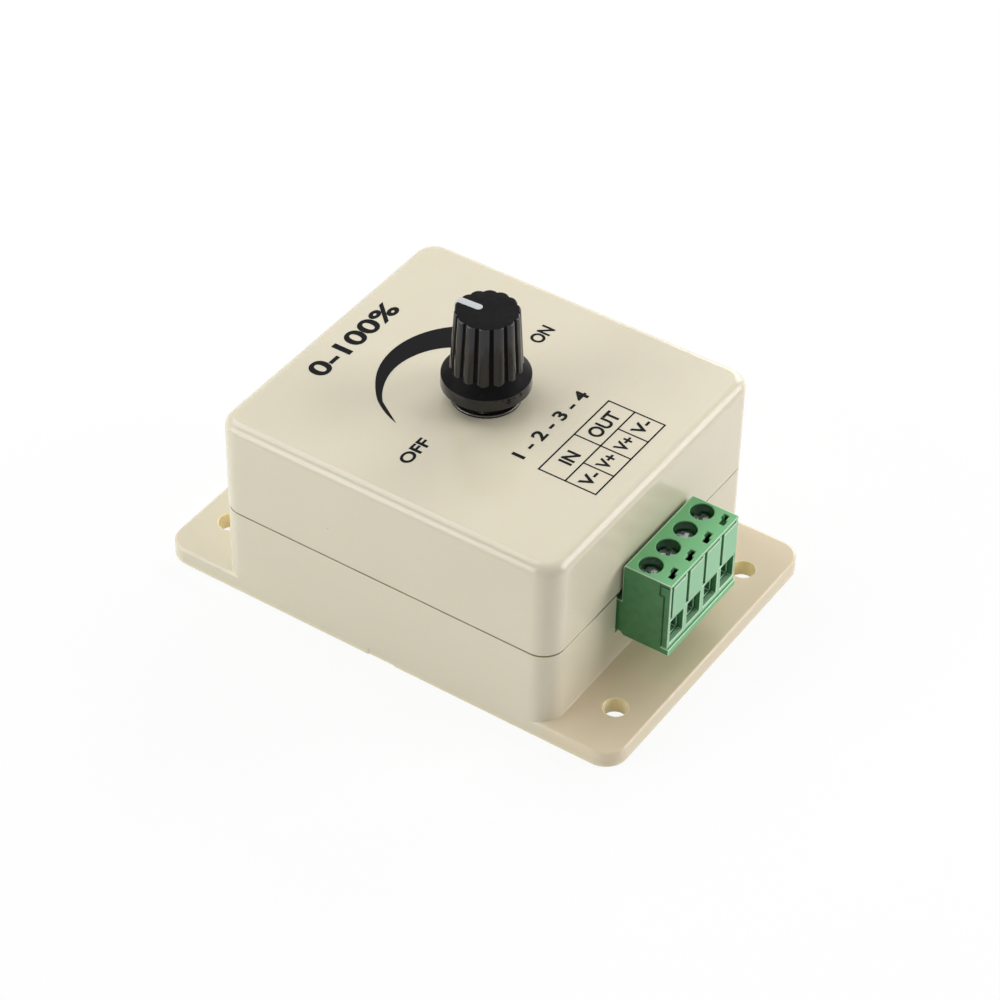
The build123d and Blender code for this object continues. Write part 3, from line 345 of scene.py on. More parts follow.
def case_light_and_shade(case, groove_height, holes):
    """Painted light and shade on the case: painted shade in the parting groove, painted warm shade on the
    flange by the plug, and painted warm light along the foot and on the hole walls.
    """
    flange_top, over_flange, flange_start, flange_end = 3.0 * MM, 3.6 * MM, -29 * MM, -33 * MM
    foot_low, foot_high, floor_light_weight = 0.15 * MM, 0.9 * MM, 0.75
    wall_near, wall_far = 0.05 * MM, 0.25 * MM

    def painted_light_and_shade(wires, place, base):
        where = wires.parts(place)
        # Painted warm shade on the flange top in front of the plug's wall.
        flange = wires.remap(where["Z"], flange_top, over_flange, 1, 0)
        shade_by_plug = wires.remap(where["Y"], flange_start, flange_end)
        base = wires.blend(wires.times(flange, shade_by_plug), base, rgba(case.flange_warm_shade_colour))
        # Painted warm light from the floor, strongest just over it and fading upwards.
        foot = wires.remap(where["Z"], foot_low, foot_high, floor_light_weight, 0)
        base = wires.blend(foot, base, rgba(case.foot_floor_light_colour))
        # Painted warm light on the hole walls, fading out away from them.
        aside = wires.minus(wires.maths("ABSOLUTE", where["X"]), holes["spacing_x_mm"] / 2 * MM)
        along = wires.minus(wires.maths("ABSOLUTE", where["Y"]), holes["spacing_y_mm"] / 2 * MM)
        reach = wires.minus(wires.distance(aside, along), holes["hole_r_mm"] * MM)
        base = wires.blend(wires.remap(reach, wall_near, wall_far, 1, 0), base, rgba(case.hole_wall_light_colour))
        # Painted shade in the parting groove, darkest at its middle.
        off = wires.maths("ABSOLUTE", wires.minus(where["Z"], groove_height))
        shade = wires.remap(off, case.groove / 2, case.groove, 1, 0)
        return wires.blend(shade, base, rgba(case.groove_shade_colour))
    return painted_light_and_shade


def plug_shade(shaded_side_and_header_colour, well_shade_and_seam_colour, well_y, well_radius, top):
    """Painted shade on the plug: plain darker side faces, and painted shade down in the screw wells."""
    side_facing, mottle_size, darker, lighter = 0.9, 1.5 * MM, 0.9, 1.12
    shade_low, shade_high, margin = top - 0.35 * MM, top - 0.05 * MM, 1.03
    pitch = POLES[1] - POLES[0]

    def painted_light_and_shade(wires, place, base):
        # Faces turned along x get mottled painted shade.
        facing = wires.add("ShaderNodeTexCoord").outputs["Normal"]
        shaded_side = wires.maths("GREATER_THAN", wires.maths("ABSOLUTE", wires.parts(facing)["X"]), side_facing)
        mottle = wires.remap(noise(wires, place, mottle_size, 5.0), 0.3, 0.7)
        mottled_side_shade = wires.blend(mottle, rgba(shaded_side_and_header_colour, darker), rgba(shaded_side_and_header_colour, lighter))
        base = wires.blend(shaded_side, base, mottled_side_shade)
        # Painted shade inside the screw wells, deepening below their rims.
        where = wires.parts(place)
        from_first = wires.minus(where["X"], POLES[0] - pitch / 2)
        step = wires.maths("FRACT", wires.maths("DIVIDE", from_first, pitch))
        aside = wires.times(wires.minus(step, 0.5), pitch)
        along = wires.minus(where["Y"], well_y)
        inside = wires.maths("LESS_THAN", wires.distance(aside, along), well_radius * margin)
        well_shade = wires.remap(where["Z"], shade_low, shade_high, 1, 0)
        return wires.blend(wires.times(inside, well_shade), base, rgba(well_shade_and_seam_colour))
    return painted_light_and_shade


def metal(name, colour, roughness, streak=0.5 * MM, scratch=0.004 * MM):
    """Plated or turned metal: streaked gloss, tarnish in patches and fine scratches."""
    patch_size, darker, lighter, stretch = 2.5 * MM, 0.86, 1.08, (1, 1, 9)
    material, wires, shader, place = new_finish(name)
    patch = wires.remap(noise(wires, place, patch_size, 4.0), 0.35, 0.7)
    stretched = wires.add("ShaderNodeMapping", {"Vector": place, "Scale": stretch}).outputs[0]
    lines = noise(wires, stretched, streak, 3.0)
    wires.fill(shader, {
        "Base Color": wires.blend(patch, rgba(colour, darker), rgba(colour, lighter)), "Metallic": 1.0,
        "Roughness": wires.remap(lines, 0.25, 0.75, roughness * 0.6, roughness * 1.4),
        "Normal": wires.bump(lines, scratch)})
    return material


def black_plastic(name, colour, roughness, specular, grain):
    """Black plastic of the knob: worn patches, uneven gloss and a fine grain."""
    wear_size, gloss_size, grain_size, wear_and_edge_highlight = 1.2 * MM, 2.2 * MM, 0.16 * MM, 1.8
    material, wires, shader, place = new_finish(name)
    wear = wires.remap(noise(wires, place, wear_size, 5.0), 0.45, 0.75)
    gloss = wires.remap(noise(wires, place, gloss_size, 3.0), 0.3, 0.7, roughness * 0.8, roughness * 1.2)
    wires.fill(shader, {
        "Base Color": wires.blend(wear, rgba(colour), rgba(colour, wear_and_edge_highlight)), "Roughness": gloss,
        "Normal": wires.bump(noise(wires, place, grain_size, 3.0), grain), "IOR": PLASTIC_IOR,
        "Specular IOR Level": specular})
    return material


def coat(mesh, material):
    """Gives a mesh one material."""
    mesh.materials.clear()
    mesh.materials.append(material)


def link(name, data, material=None):
    """Object for a mesh, text, lamp or camera, at the origin."""
    piece = bpy.data.objects.new(name, data)
    bpy.context.scene.collection.objects.link(piece)
    if material:
        coat(data, material)
    return piece


def final_mesh(piece):
    """New mesh of a piece as its modifiers or its text make it."""
    bpy.context.view_layer.update()
    return bpy.data.meshes.new_from_object(piece.evaluated_get(bpy.context.evaluated_depsgraph_get()))


def baked(piece):
    """Turns a piece's modifiers into its own mesh."""
    mesh = final_mesh(piece)
    piece.modifiers.clear()
    piece.data = mesh


def settle(piece, node):
    """Rides a finished piece on the body of the node that it stands for."""
    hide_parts(node)
    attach(piece, BODY_OF[node])


def blocks(name, boxes):
    """Object that holds one block for each pair of opposite corners."""
    shape = bmesh.new()
    for low, high in boxes:
        middle, size = (Vector(low) + Vector(high)) / 2, Vector(high) - Vector(low)
        place = Matrix.Translation(middle) @ Matrix.Diagonal((*size, 1))
        bmesh.ops.create_cube(shape, size=1, matrix=place)
    mesh = bpy.data.meshes.new(name)
    shape.to_mesh(mesh)
    shape.free()
    return link(name, mesh)


def merged(mesh, apart, largest=None):
    """Merges a mesh's points and joins its flat faces.

    If a largest number of corners is given, faces to the front and back with more are split again."""
    flat, facing = math.radians(0.6), 0.9
    shape = bmesh.new()
    shape.from_mesh(mesh)
    bmesh.ops.remove_doubles(shape, verts=shape.verts, dist=apart)
    bmesh.ops.dissolve_limit(
        shape, angle_limit=flat, use_dissolve_boundaries=False, verts=shape.verts, edges=shape.edges)
    if largest:
        wide = [face for face in shape.faces if len(face.verts) > largest and abs(face.normal.y) > facing]
        bmesh.ops.triangulate(shape, faces=wide, ngon_method="BEAUTY")
    shape.to_mesh(mesh)
    shape.free()


def dressed(node, material, edge, edge_materials=(), edge_kind=None, added=(), removed=(), largest=None):
    """Node's own shape, with its points merged, its sharp edges rounded and its faces smooth.

    Blocks are added to it and then removed from it first. The rounded edges take the first of their
    materials, or the one that edge_kind numbers for the middle of a face, where 0 is the node's own."""
    close, close_when_cut, sharp = 0.002 * MM, 0.01 * MM, math.radians(34)
    mesh = frame["nodes"][node].data.copy()
    merged(mesh, close, largest)
    piece = link(f"{node}_finished", mesh, material)
    tools = []
    for operation, boxes in (("UNION", added), ("DIFFERENCE", removed)):
        if boxes:
            tools.append(blocks(operation, boxes))
            carving = piece.modifiers.new(operation, "BOOLEAN")
            carving.operation = operation
            carving.solver = "EXACT"
            carving.use_self = True
            carving.object = tools[-1]
    if tools:
        baked(piece)
        merged(piece.data, close_when_cut, largest)
    for tool in tools:
        bpy.data.objects.remove(tool)
    piece.data.shade_smooth()
    bevel = piece.modifiers.new("Edges", "BEVEL")
    bevel.width = edge
    bevel.segments = 2
    bevel.limit_method = "ANGLE"
    bevel.angle_limit = sharp
    bevel.use_clamp_overlap = False
    for finish in edge_materials:
        piece.data.materials.append(finish)
        bevel.material = 1
    normals = piece.modifiers.new("Normals", "WEIGHTED_NORMAL")
    normals.keep_sharp = True
    baked(piece)
    for face in piece.data.polygons:
        if edge_kind and face.material_index == 1:
            face.material_index = edge_kind(face.center)
    settle(piece, node)


def turned_tree():
    """Geometry node tree that sweeps a profile round the upright axis and copies it to places.

    Each point of the profile has its radius in x and its height in z, and the attribute flute holds the
    peak radius of the lobes there, how far they are set in, and how far the row is drawn to the axis."""
    tree = bpy.data.node_groups.new("Turned form", "GeometryNodeTree")
    sockets = {
        "Geometry": ["Profile"], "Object": ["Places"], "Vector": ["Turn"], "Int": ["Columns", "Lobes"],
        "Float": ["Lobe share", "First notch", "Slot length", "Cross length", "Slot width", "Slot depth",
                  "Slot height", "Thread radius", "Thread pitch", "Thread start", "Thread length"]}
    for kind, names in sockets.items():
        for name in names:
            tree.interface.new_socket(name, in_out="INPUT", socket_type=f"NodeSocket{kind}")
    tree.interface.new_socket("Geometry", in_out="OUTPUT", socket_type="NodeSocketGeometry")
    wires = Wires(tree)
    given = wires.add("NodeGroupInput").outputs

    rows = wires.shape("AttributeDomainSize", {"Geometry": given["Profile"]})
    across = wires.plus(given["Columns"], 1)
    grid = wires.shape("MeshGrid", {"Size X": 1.0, "Size Y": 1.0, "Vertices X": across, "Vertices Y": rows})
    position = wires.shape("InputPosition")
    place = wires.parts(position)
    share = wires.plus(place["X"], 0.5)
    last_row = wires.minus(rows, 1)
    row = wires.maths("ROUND", wires.times(wires.plus(place["Y"], 0.5), last_row))
    flute = wires.shape("InputNamedAttribute", {"Name": "flute"}, data_type="FLOAT_VECTOR")
    parts = []
    for value in (position, flute):
        sample = wires.shape("SampleIndex", {
            "Geometry": given["Profile"], "Index": row, "Value": value}, data_type="FLOAT_VECTOR")
        parts.append(wires.parts(sample))
    round_part, fluted_part = parts

    whole_turn = wires.times(share, 2 * math.pi)
    angle = wires.plus(whole_turn, given["First notch"])
    in_lobe = wires.minus(wires.maths("FRACT", wires.times(share, given["Lobes"])), 0.5)
    off_peak = wires.maths("DIVIDE", wires.times(in_lobe, 2 * math.pi), given["Lobes"])
    centre = wires.minus(1.0, given["Lobe share"])
    aside = wires.times(centre, wires.maths("SINE", off_peak))
    left = wires.minus(wires.times(given["Lobe share"], given["Lobe share"]), wires.times(aside, aside))
    reach = wires.plus(wires.times(centre, wires.maths("COSINE", off_peak)), wires.maths("SQRT", left))
    lobe = wires.minus(wires.times(fluted_part["X"], reach), fluted_part["Y"])
    radius = wires.maths("MAXIMUM", round_part["X"], wires.times(lobe, fluted_part["Z"]))
    swept = wires.vector(
        X=wires.times(radius, wires.maths("COSINE", angle)),
        Y=wires.times(radius, wires.maths("SINE", angle)), Z=round_part["Z"])
    form = wires.shape("SetPosition", {"Geometry": grid, "Position": swept})
    closed = wires.shape("MergeByDistance", {"Geometry": form, "Distance": 0.0005 * MM})

    depth = wires.times(given["Slot depth"], 2)
    cutters = []
    for long_way, wide_way in (("Slot length", "Slot width"), ("Slot width", "Cross length")):
        size = wires.vector(X=given[long_way], Y=given[wide_way], Z=depth)
        cutters.append(wires.lifted(wires.shape("MeshCube", {"Size": size}), given["Slot height"]))
    cut = wires.shape("MeshBoolean", {
        "Mesh 1": closed, "Mesh 2": wires.joined(cutters), "Self Intersection": True},
        operation="DIFFERENCE", solver="EXACT")
    slotted = wires.either(wires.maths("GREATER_THAN", given["Slot length"], 0), cut, closed)

    rounds = wires.maths("DIVIDE", given["Thread length"], given["Thread pitch"])
    helix = wires.shape("CurveSpiral", {
        "Resolution": 24, "Rotations": rounds, "Start Radius": given["Thread radius"],
        "End Radius": given["Thread radius"], "Height": given["Thread length"], "Reverse": True})
    ridge = wires.shape("CurvePrimitiveCircle", {
        "Resolution": 6, "Radius": wires.times(given["Thread pitch"], 0.3)})
    thread = wires.shape("CurveToMesh", {"Curve": helix, "Profile Curve": ridge, "Fill Caps": True})
    has_thread = wires.maths("GREATER_THAN", given["Thread length"], 0)
    shown_thread = wires.either(has_thread, wires.lifted(thread, given["Thread start"]))
    whole = wires.joined([shown_thread, slotted])

    smooth = wires.shape("SetShadeSmooth", {"Geometry": whole}, domain="FACE")
    sharp_edges = wires.maths("GREATER_THAN", wires.shape("InputMeshEdgeAngle"), math.radians(38))
    sharp = wires.shape("SetShadeSmooth", {
        "Geometry": smooth, "Selection": sharp_edges, "Shade Smooth": False}, domain="EDGE")
    spots = wires.add("GeometryNodeObjectInfo", {"Object": given["Places"]}).outputs["Geometry"]
    turn = wires.add("FunctionNodeEulerToRotation", {"Euler": given["Turn"]}).outputs[0]
    copies = wires.shape("InstanceOnPoints", {"Points": spots, "Instance": sharp, "Rotation": turn})
    wires.add("NodeGroupOutput", {0: wires.shape("RealizeInstances", {"Geometry": copies})})
    return tree


def softened(outline, steps=4):
    """Outline of (radius, height, corner radius) points with each corner turned into an arc."""
    rows = []
    for index, (radius, height, soft) in enumerate(outline):
        here = Vector((radius, height))
        if not soft or index in (0, len(outline) - 1):
            rows.append(here)
            continue
        before = Vector(outline[index - 1][:2]) - here
        after = Vector(outline[index + 1][:2]) - here
        half = before.angle(after) / 2
        run = min(soft / math.tan(half), 0.49 * before.length, 0.49 * after.length)
        first, last = here + run * before.normalized(), here + run * after.normalized()
        for step in range(steps + 1):
            share = step / steps
            rows.append((1 - share) ** 2 * first + 2 * share * (1 - share) * here + share ** 2 * last)
    return rows


def points_object(name, spots):
    """Object that holds only points."""
    mesh = bpy.data.meshes.new(name)
    mesh.from_pydata([tuple(spot) for spot in spots], [], [])
    return link(name, mesh)


def turned(name, rows, places, material, flutes=None, **inputs):
    """Turned piece made from rows of (radius, height) by the tree of turned forms, as a plain mesh."""
    profile = points_object(name, [(row[0], 0, row[1]) for row in rows])
    attribute = profile.data.attributes.new("flute", "FLOAT_VECTOR", "POINT")
    for point, flute in zip(attribute.data, flutes or [(0, 0, 1)] * len(rows)):
        point.vector = flute
    spots = points_object(f"{name}_places", places)
    tree = bpy.data.node_groups.get("Turned form") or turned_tree()
    modifier = profile.modifiers.new("Turned form", "NODES")
    modifier.node_group = tree
    values = {"Places": spots, **inputs}
    for socket in tree.interface.items_tree:
        if socket.in_out == "INPUT" and socket.name in values:
            modifier[socket.identifier] = values[socket.name]
    baked(profile)
    coat(profile.data, material)
    for face in profile.data.polygons:
        face.material_index = 0
    bpy.data.objects.remove(spots)
    return profile


class DIMMER_OT_case(Operator):
    """Finish the two halves of the case"""
    bl_idname = "dimmer.case"
    bl_label = "Case"

    def execute(self, context):
        case = by_name("dimmer_case")
        holes = frame["record"]["mounts"][0]["dims"]
        plastic = moulded("Case plastic", case.colour, case.roughness, mottle=0.008, wave=0.012 * MM,
                          specks=0.10, under=0.25, painted_light_and_shade=case_light_and_shade(case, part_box("lid")[0].z, holes))
        for node in ("base_shell", "lid"):
            dressed(node, plastic, case.edge)
        return {"FINISHED"}


def smooth_run(points, steps=6):
    """Run of 2D points with a Catmull-Rom curve drawn through them."""
    ends = [points[0], *points, points[-1]]
    run = []
    for p0, p1, p2, p3 in zip(ends, ends[1:], ends[2:], ends[3:]):
        p0, p1, p2, p3 = Vector(p0), Vector(p1), Vector(p2), Vector(p3)
        for step in range(steps):
            t = step / steps
            run.append(0.5 * (2 * p1 + (p2 - p0) * t + (2 * p0 - 5 * p1 + 4 * p2 - p3) * t ** 2
                              + (3 * p1 - p0 - 3 * p2 + p3) * t ** 3))
    return run + [Vector(points[-1])]


def ink_shape(name, outline, height, thickness):
    """Flat shape of ink from an outline of points, standing on the lid."""
    mesh = bpy.data.meshes.new(name)
    shape = bmesh.new()
    ring = [shape.verts.new((x, y, height)) for x, y in outline]
    face = shape.faces.new(ring)
    if face.normal.z < 0:
        face.normal_flip()
    raised = bmesh.ops.extrude_face_region(shape, geom=[face])
    for corner in raised["geom"]:
        if isinstance(corner, bmesh.types.BMVert):
            corner.co.z += thickness
    bmesh.ops.recalc_face_normals(shape, faces=shape.faces)
    shape.to_mesh(mesh)
    shape.free()
    return link(name, mesh)


def ink_text(name, words, left, right, low, high, height, thickness, weight):
    """Words fitted into a box on the lid, as a mesh."""
    curve = bpy.data.curves.new(name, "FONT")
    curve.body = words
    curve.offset = weight
    curve.extrude = 0.5
    curve.resolution_u = 6
    text = link(name, curve)
    mesh = final_mesh(text)
    bpy.data.objects.remove(text)
    for axis, start, end in ((0, left, right), (1, low, high)):
        least = min(vertex.co[axis] for vertex in mesh.vertices)
        most = max(vertex.co[axis] for vertex in mesh.vertices)
        for vertex in mesh.vertices:
            vertex.co[axis] = start + (vertex.co[axis] - least) / (most - least) * (end - start)
    for vertex in mesh.vertices:
        vertex.co.z = height + (vertex.co.z + 0.5) * thickness
    return link(name, mesh)


class DIMMER_OT_lid_print(Operator):
    """Print the scale, the words and the terminal table on the lid"""
    bl_idname = "dimmer.lid_print"
    bl_label = "Print"

    def execute(self, context):
        settings = by_name("dimmer_print")
        ink = moulded("Printing ink", settings.colour, 0.5, mottle=0.1, wave=0.0, grain=0.001 * MM,
                      specular=0.06)
        thickness = settings.thickness
        pieces = []
        # Each text has the left, right, low and high edges of its box, in mm.
        words = [
            (settings.scale_text, -11.4, 10.4, 24.05, 27.8), ("OFF", -20.9, -14.4, 0.6, 2.9),
            ("ON", 15.8, 20.4, 0.4, 2.9), (settings.terminal_text, -9.6, 9.6, -13.3, -10.9),
            ("IN", -6.7, -3.6, -20.1, -17.7), ("OUT", 1.3, 8.1, -20.2, -17.6),
            ("V-", -9.3, -5.7, -25.2, -23.0), ("V+", -4.3, -0.7, -25.2, -23.0),
            ("V+", 0.8, 4.4, -25.2, -23.0), ("V-", 5.8, 9.4, -25.2, -23.0)]
        for text, *box in words:
            box = [edge * MM for edge in box]
            pieces.append(ink_text("word", text, *box, LID_TOP, thickness, settings.weight))
        left, first, halfway, last, right = -10.1, -4.9, 0.06, 5.1, 10.1
        top, middle, bottom = -16.4, -21.3, -26.9
        half = settings.line / MM / 2
        bars = [(left, right, height, height) for height in (top, middle, bottom)]
        bars += [(x, x, bottom, top) for x in (left, halfway, right)]
        bars += [(x, x, bottom, middle) for x in (first, last)]
        for x0, x1, y0, y1 in bars:
            x0, x1, y0, y1 = x0 - half, x1 + half, y0 - half, y1 + half
            corners = [(x0, y0), (x1, y0), (x1, y1), (x0, y1)]
            pieces.append(ink_shape("bar", [(x * MM, y * MM) for x, y in corners], LID_TOP, thickness))
        # The crescent's points are an angle in degrees and a radius in mm.
        outer = [(150, 15.95), (130, 17.4), (120, 17.9), (100, 18.9), (80, 19.25), (60, 18.9), (38, 17.9)]
        inner = [(38, 11.5), (62, 13.8), (80, 15.25), (100, 16.4), (120, 16.75), (130, 16.7)]
        crescent = []
        for angle, radius in smooth_run(outer) + smooth_run(inner):
            turn = math.radians(angle)
            crescent.append((radius * MM * math.cos(turn), radius * MM * math.sin(turn)))
        pieces.append(ink_shape("crescent", crescent, LID_TOP, thickness))
        with context.temp_override(active_object=pieces[0], selected_editable_objects=pieces):
            bpy.ops.object.join()
        pieces[0].name = "lid_print"
        coat(pieces[0].data, ink)
        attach(pieces[0], BODY_OF["lid"])
        return {"FINISHED"}


class DIMMER_OT_knob(Operator):
    """Make the fluted knob and its pointer"""
    bl_idname = "dimmer.knob"
    bl_label = "Knob"

    def execute(self, context):
        knob = by_name("dimmer_knob")
        low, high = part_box("knob")
        bottom, top, skirt = low.z, high.z, (high.x - low.x) / 2
        gloss = black_plastic("Knob gloss", knob.colour, 0.13, 0.5, 0.002 * MM)
        satin = black_plastic("Knob satin", knob.colour, 0.5, 0.05, 0.012 * MM)
        bore, under_cap = knob.bore_radius, top - knob.cap
        narrow, wide = knob.clip_recess_radius, knob.nut_recess_radius
        over_nut, over_clip = bottom + knob.nut_recess, bottom + knob.clip_recess
        rows = softened([
            (0, under_cap, 0), (bore, under_cap, 0), (bore, over_clip, 0), (narrow, over_clip, 0),
            (narrow, over_nut, 0), (wide, over_nut, 0), (wide, bottom, knob.foot_edge),
            (skirt, bottom, knob.edge), (skirt - knob.lean, bottom + knob.skirt_height, knob.edge),
            (knob.cone_radius, bottom + knob.cone_height, 0)])
        flutes = []
        taper = (knob.foot_radius - knob.top_radius) / (top - bottom - knob.flute_foot)

        def peak_at(height):
            return knob.top_radius + taper * (top - height)

        fine, cone_parts, nearly = [], 14, 0.999
        for here, after in zip(rows, rows[1:]):
            on_cone = here.y > bottom + knob.skirt_height * 0.9 and here.x > knob.cone_radius
            parts = cone_parts if on_cone else 1
            fine += [here.lerp(after, part / parts) for part in range(parts)]
        rows = fine + [rows[-1]]
        for row in rows:
            above = row.y > bottom + knob.flute_foot and row.x >= knob.cone_radius * nearly
            flutes.append((peak_at(row.y) if above else 0, 0, 1))
        steps, edge_foot, grip_foot = 5, top - knob.edge, rows[-1].y
        for level in (grip_foot + (edge_foot - grip_foot) * 0.35, edge_foot):
            rows.append(Vector((0, level)))
            flutes.append((peak_at(level), 0, 1))
        for step in range(1, steps + 1):
            turn = math.pi / 2 * step / steps
            rows.append(Vector((0, top - knob.edge * (1 - math.sin(turn)))))
            flutes.append((knob.top_radius, knob.edge * (1 - math.cos(turn)), 1))
        for shrink in (0.6, 0.0):
            rows.append(Vector((0, top)))
            flutes.append((knob.top_radius, knob.edge, shrink))
        piece = turned("knob_grip", rows, [SHAFT], gloss, flutes, **{
            "Columns": knob.lobes * 20, "Lobes": knob.lobes, "Lobe share": knob.lobe_share,
            "First notch": knob.first_notch})
        piece.data.materials.append(satin)
        flat, sloping = 0.99, 0.2
        for face in piece.data.polygons:
            rise, spot = face.center.z - bottom, face.center - SHAFT
            on_cone = knob.skirt_height < rise < knob.cone_height and sloping < face.normal.z
            share = (math.atan2(spot.y, spot.x) - knob.first_notch) * knob.lobes / (2 * math.pi) % 1
            in_notch = rise > knob.flute_foot and abs(share - 0.5) > 0.5 - knob.notch_share
            face.material_index = 1 if face.normal.z > flat or on_cone or in_notch else 0
        settle(piece, "knob")
        white = moulded("White inlay", knob.pointer_colour, 0.35, mottle=0.08, grain=0.002 * MM, under=0.1)
        dressed("knob_pointer", white, knob.pointer_edge)
        return {"FINISHED"}


class DIMMER_OT_shaft_parts(Operator):
    """Finish the nut, washer, bushing and shaft under the knob"""
    bl_idname = "dimmer.shaft_parts"
    bl_label = "Shaft parts"

    def execute(self, context):
        nickel = metal("Nickel plate", (0.66, 0.65, 0.62), 0.16)
        zinc = metal("Die-cast zinc", (0.55, 0.55, 0.54), 0.34)
        brass = metal("Nickelled brass", (0.66, 0.60, 0.46), 0.24)
        dull = metal("Blackened steel", (0.045, 0.043, 0.04), 0.35)
        rubbed = metal("Rubbed steel", (0.20, 0.19, 0.17), 0.3)
        finishes = {
            "pot_washer": (dull, 0.03, [rubbed]), "pot_nut": (dull, 0.06, [rubbed]),
            "pot_can": (nickel, 0.06, []), "pot_bushing": (zinc, 0.05, []),
            "shaft_clip": (nickel, 0.04, []), "pot_shaft": (brass, 0.04, [])}
        for node, (finish, edge, wear_and_edge_highlight) in finishes.items():
            dressed(node, finish, edge * MM, wear_and_edge_highlight)
        return {"FINISHED"}


class DIMMER_OT_plug(Operator):
    """Finish the plug and the header behind it"""
    bl_idname = "dimmer.plug"
    bl_label = "Plug and header"

    def execute(self, context):
        plug = by_name("dimmer_plug")
        screw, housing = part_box("clamp_screw_1"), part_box("plug_housing")
        well_y = (screw[0].y + screw[1].y) / 2
        painted_light_and_shade = plug_shade(plug.shaded_side_and_header_colour, plug.well_shade_and_seam_colour, well_y,
                           (screw[1].x - screw[0].x) / 2 + 0.2 * MM, housing[1].z)
        green = moulded("Plug green", plug.housing_colour, 0.36, mottle=0.05, wave=0.012 * MM,
                        grain=0.004 * MM, painted_light_and_shade=painted_light_and_shade)
        pale = moulded("Cover green", plug.cover_colour, 0.48, mottle=0.05, wave=0.012 * MM,
                       grain=0.008 * MM, painted_light_and_shade=painted_light_and_shade)
        # Painted highlight on the rounded edges of the housing and cover.
        wear_and_edge_highlight = moulded("Edge highlight", plug.edge_highlight_colour, 0.35, mottle=0.15)
        # Bevels deep in the grooves take this as painted shade; at the seams it is a dark joint.
        seam_and_groove_shade = moulded("Seam", plug.well_shade_and_seam_colour, 0.5, mottle=0.1)
        dark = moulded("Header green", plug.shaded_side_and_header_colour, 0.4, mottle=0.05)
        tin = metal("Tinned copper", TINNED, 0.26)
        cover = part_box("plug_front_cover")
        foot, end, front, roof = cover[0].z, cover[1].x, cover[0].y, cover[1].z
        pitch, groove_back = POLES[1] - POLES[0], front + plug.groove_depth
        lap, filling, rib_width = 0.1 * MM, 0.6 * MM, 0.56 * MM
        first_share, first_inset, inset, margin = 0.7, 0.45 * MM, -0.03 * MM, 0.3 * MM
        added, removed = [], []
        for x in POLES:
            first = x == POLES[0]
            left = x - pitch / 2 + (first_inset if first else inset)
            panel = left + plug.groove_width * (first_share if first else 1)
            rib = x + pitch / 2 - rib_width
            added.append(((left - lap, front, foot + plug.window_top + lap),
                          (rib + lap, front + filling, roof - lap)))
            for x0, x1, low in ((left, panel, foot + plug.groove_foot),
                                (panel - lap, rib, roof - plug.groove_top)):
                removed.append(((x0, front - MM, low), (x1, groove_back, roof + MM)))

        # Bevels at the cover's seam on the sides get the dark joint colour, those round the wells keep the
        # housing's own finish, the rest a painted highlight.
        def housing_edge(spot):
            on_side = abs(spot.x) > end - 0.2 * MM
            by_cover = front + margin < spot.y < cover[1].y + margin
            inside = abs(spot.x) < end - margin and housing[0].y + 0.8 * MM < spot.y < well_y + 2.5 * MM
            if on_side and by_cover and foot < spot.z < roof + 0.25 * MM:
                return 2
            return 0 if inside and spot.z > housing[1].z - margin else 1

        # Bevels deep in the grooves get painted shade, those at the back seam a dark joint, the rest a
        # painted highlight.
        def cover_edge(spot):
            in_groove = spot.y > front + plug.groove_depth / 2 and spot.z > foot + plug.window_top
            return 2 if spot.y > front + plug.seam_depth - 0.2 * MM or in_groove else 1

        edges, most_corners = [wear_and_edge_highlight, seam_and_groove_shade], 8
        dressed("plug_housing", green, plug.edge, edges, housing_edge, largest=most_corners)
        dressed("plug_front_cover", pale, plug.edge, edges, cover_edge, added, removed, most_corners)
        dressed("header_shroud", dark, plug.edge)
        dressed("plug_contacts", tin, 0.04 * MM)
        dressed("header_pins", tin, 0.06 * MM)
        return {"FINISHED"}


class DIMMER_OT_clamps(Operator):
    """Make the slotted clamp screws and the cages that they lift"""
    bl_idname = "dimmer.clamps"
    bl_label = "Screw clamps"

    def execute(self, context):
        clamp = by_name("dimmer_clamps")
        shank, tip_edge, seat_edge, head_edge = clamp.shank_radius, 0.2 * MM, 0.1 * MM, 0.3 * MM
        crown, past_head, below_seat = 0.02 * MM, 1 * MM, 0.5 * MM
        zinc = metal("Zinc plate", (0.88, 0.89, 0.90), 0.2, 0.4 * MM, 0.03 * MM)
        brass = metal("Nickelled cage", (0.60, 0.58, 0.52), 0.28)
        for pole, (x, degrees) in enumerate(zip(POLES, SCREW_TURNS), start=1):
            low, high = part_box(f"clamp_screw_{pole}")
            head, seat = (high.x - low.x) / 2, high.z - clamp.head_height
            rows = softened([
                (0, low.z, 0), (shank, low.z, tip_edge), (shank, seat, 0), (head, seat, seat_edge),
                (head, high.z, head_edge), (0, high.z + crown, 0)])
            place = Vector((x, (low.y + high.y) / 2, 0))
            screw = turned(f"clamp_screw_{pole}_turned", rows, [place], zinc, **{
                "Columns": 48, "Turn": (0, 0, math.radians(degrees)), "Slot length": 2 * head + past_head,
                "Cross length": clamp.cross_length, "Slot width": clamp.slot_width,
                "Slot depth": clamp.slot_depth, "Slot height": high.z, "Thread radius": shank,
                "Thread pitch": clamp.pitch, "Thread start": low.z + tip_edge,
                "Thread length": seat - low.z - below_seat})
            settle(screw, f"clamp_screw_{pole}")
            dressed(f"clamp_cage_{pole}", brass, 0.07 * MM)
        return {"FINISHED"}


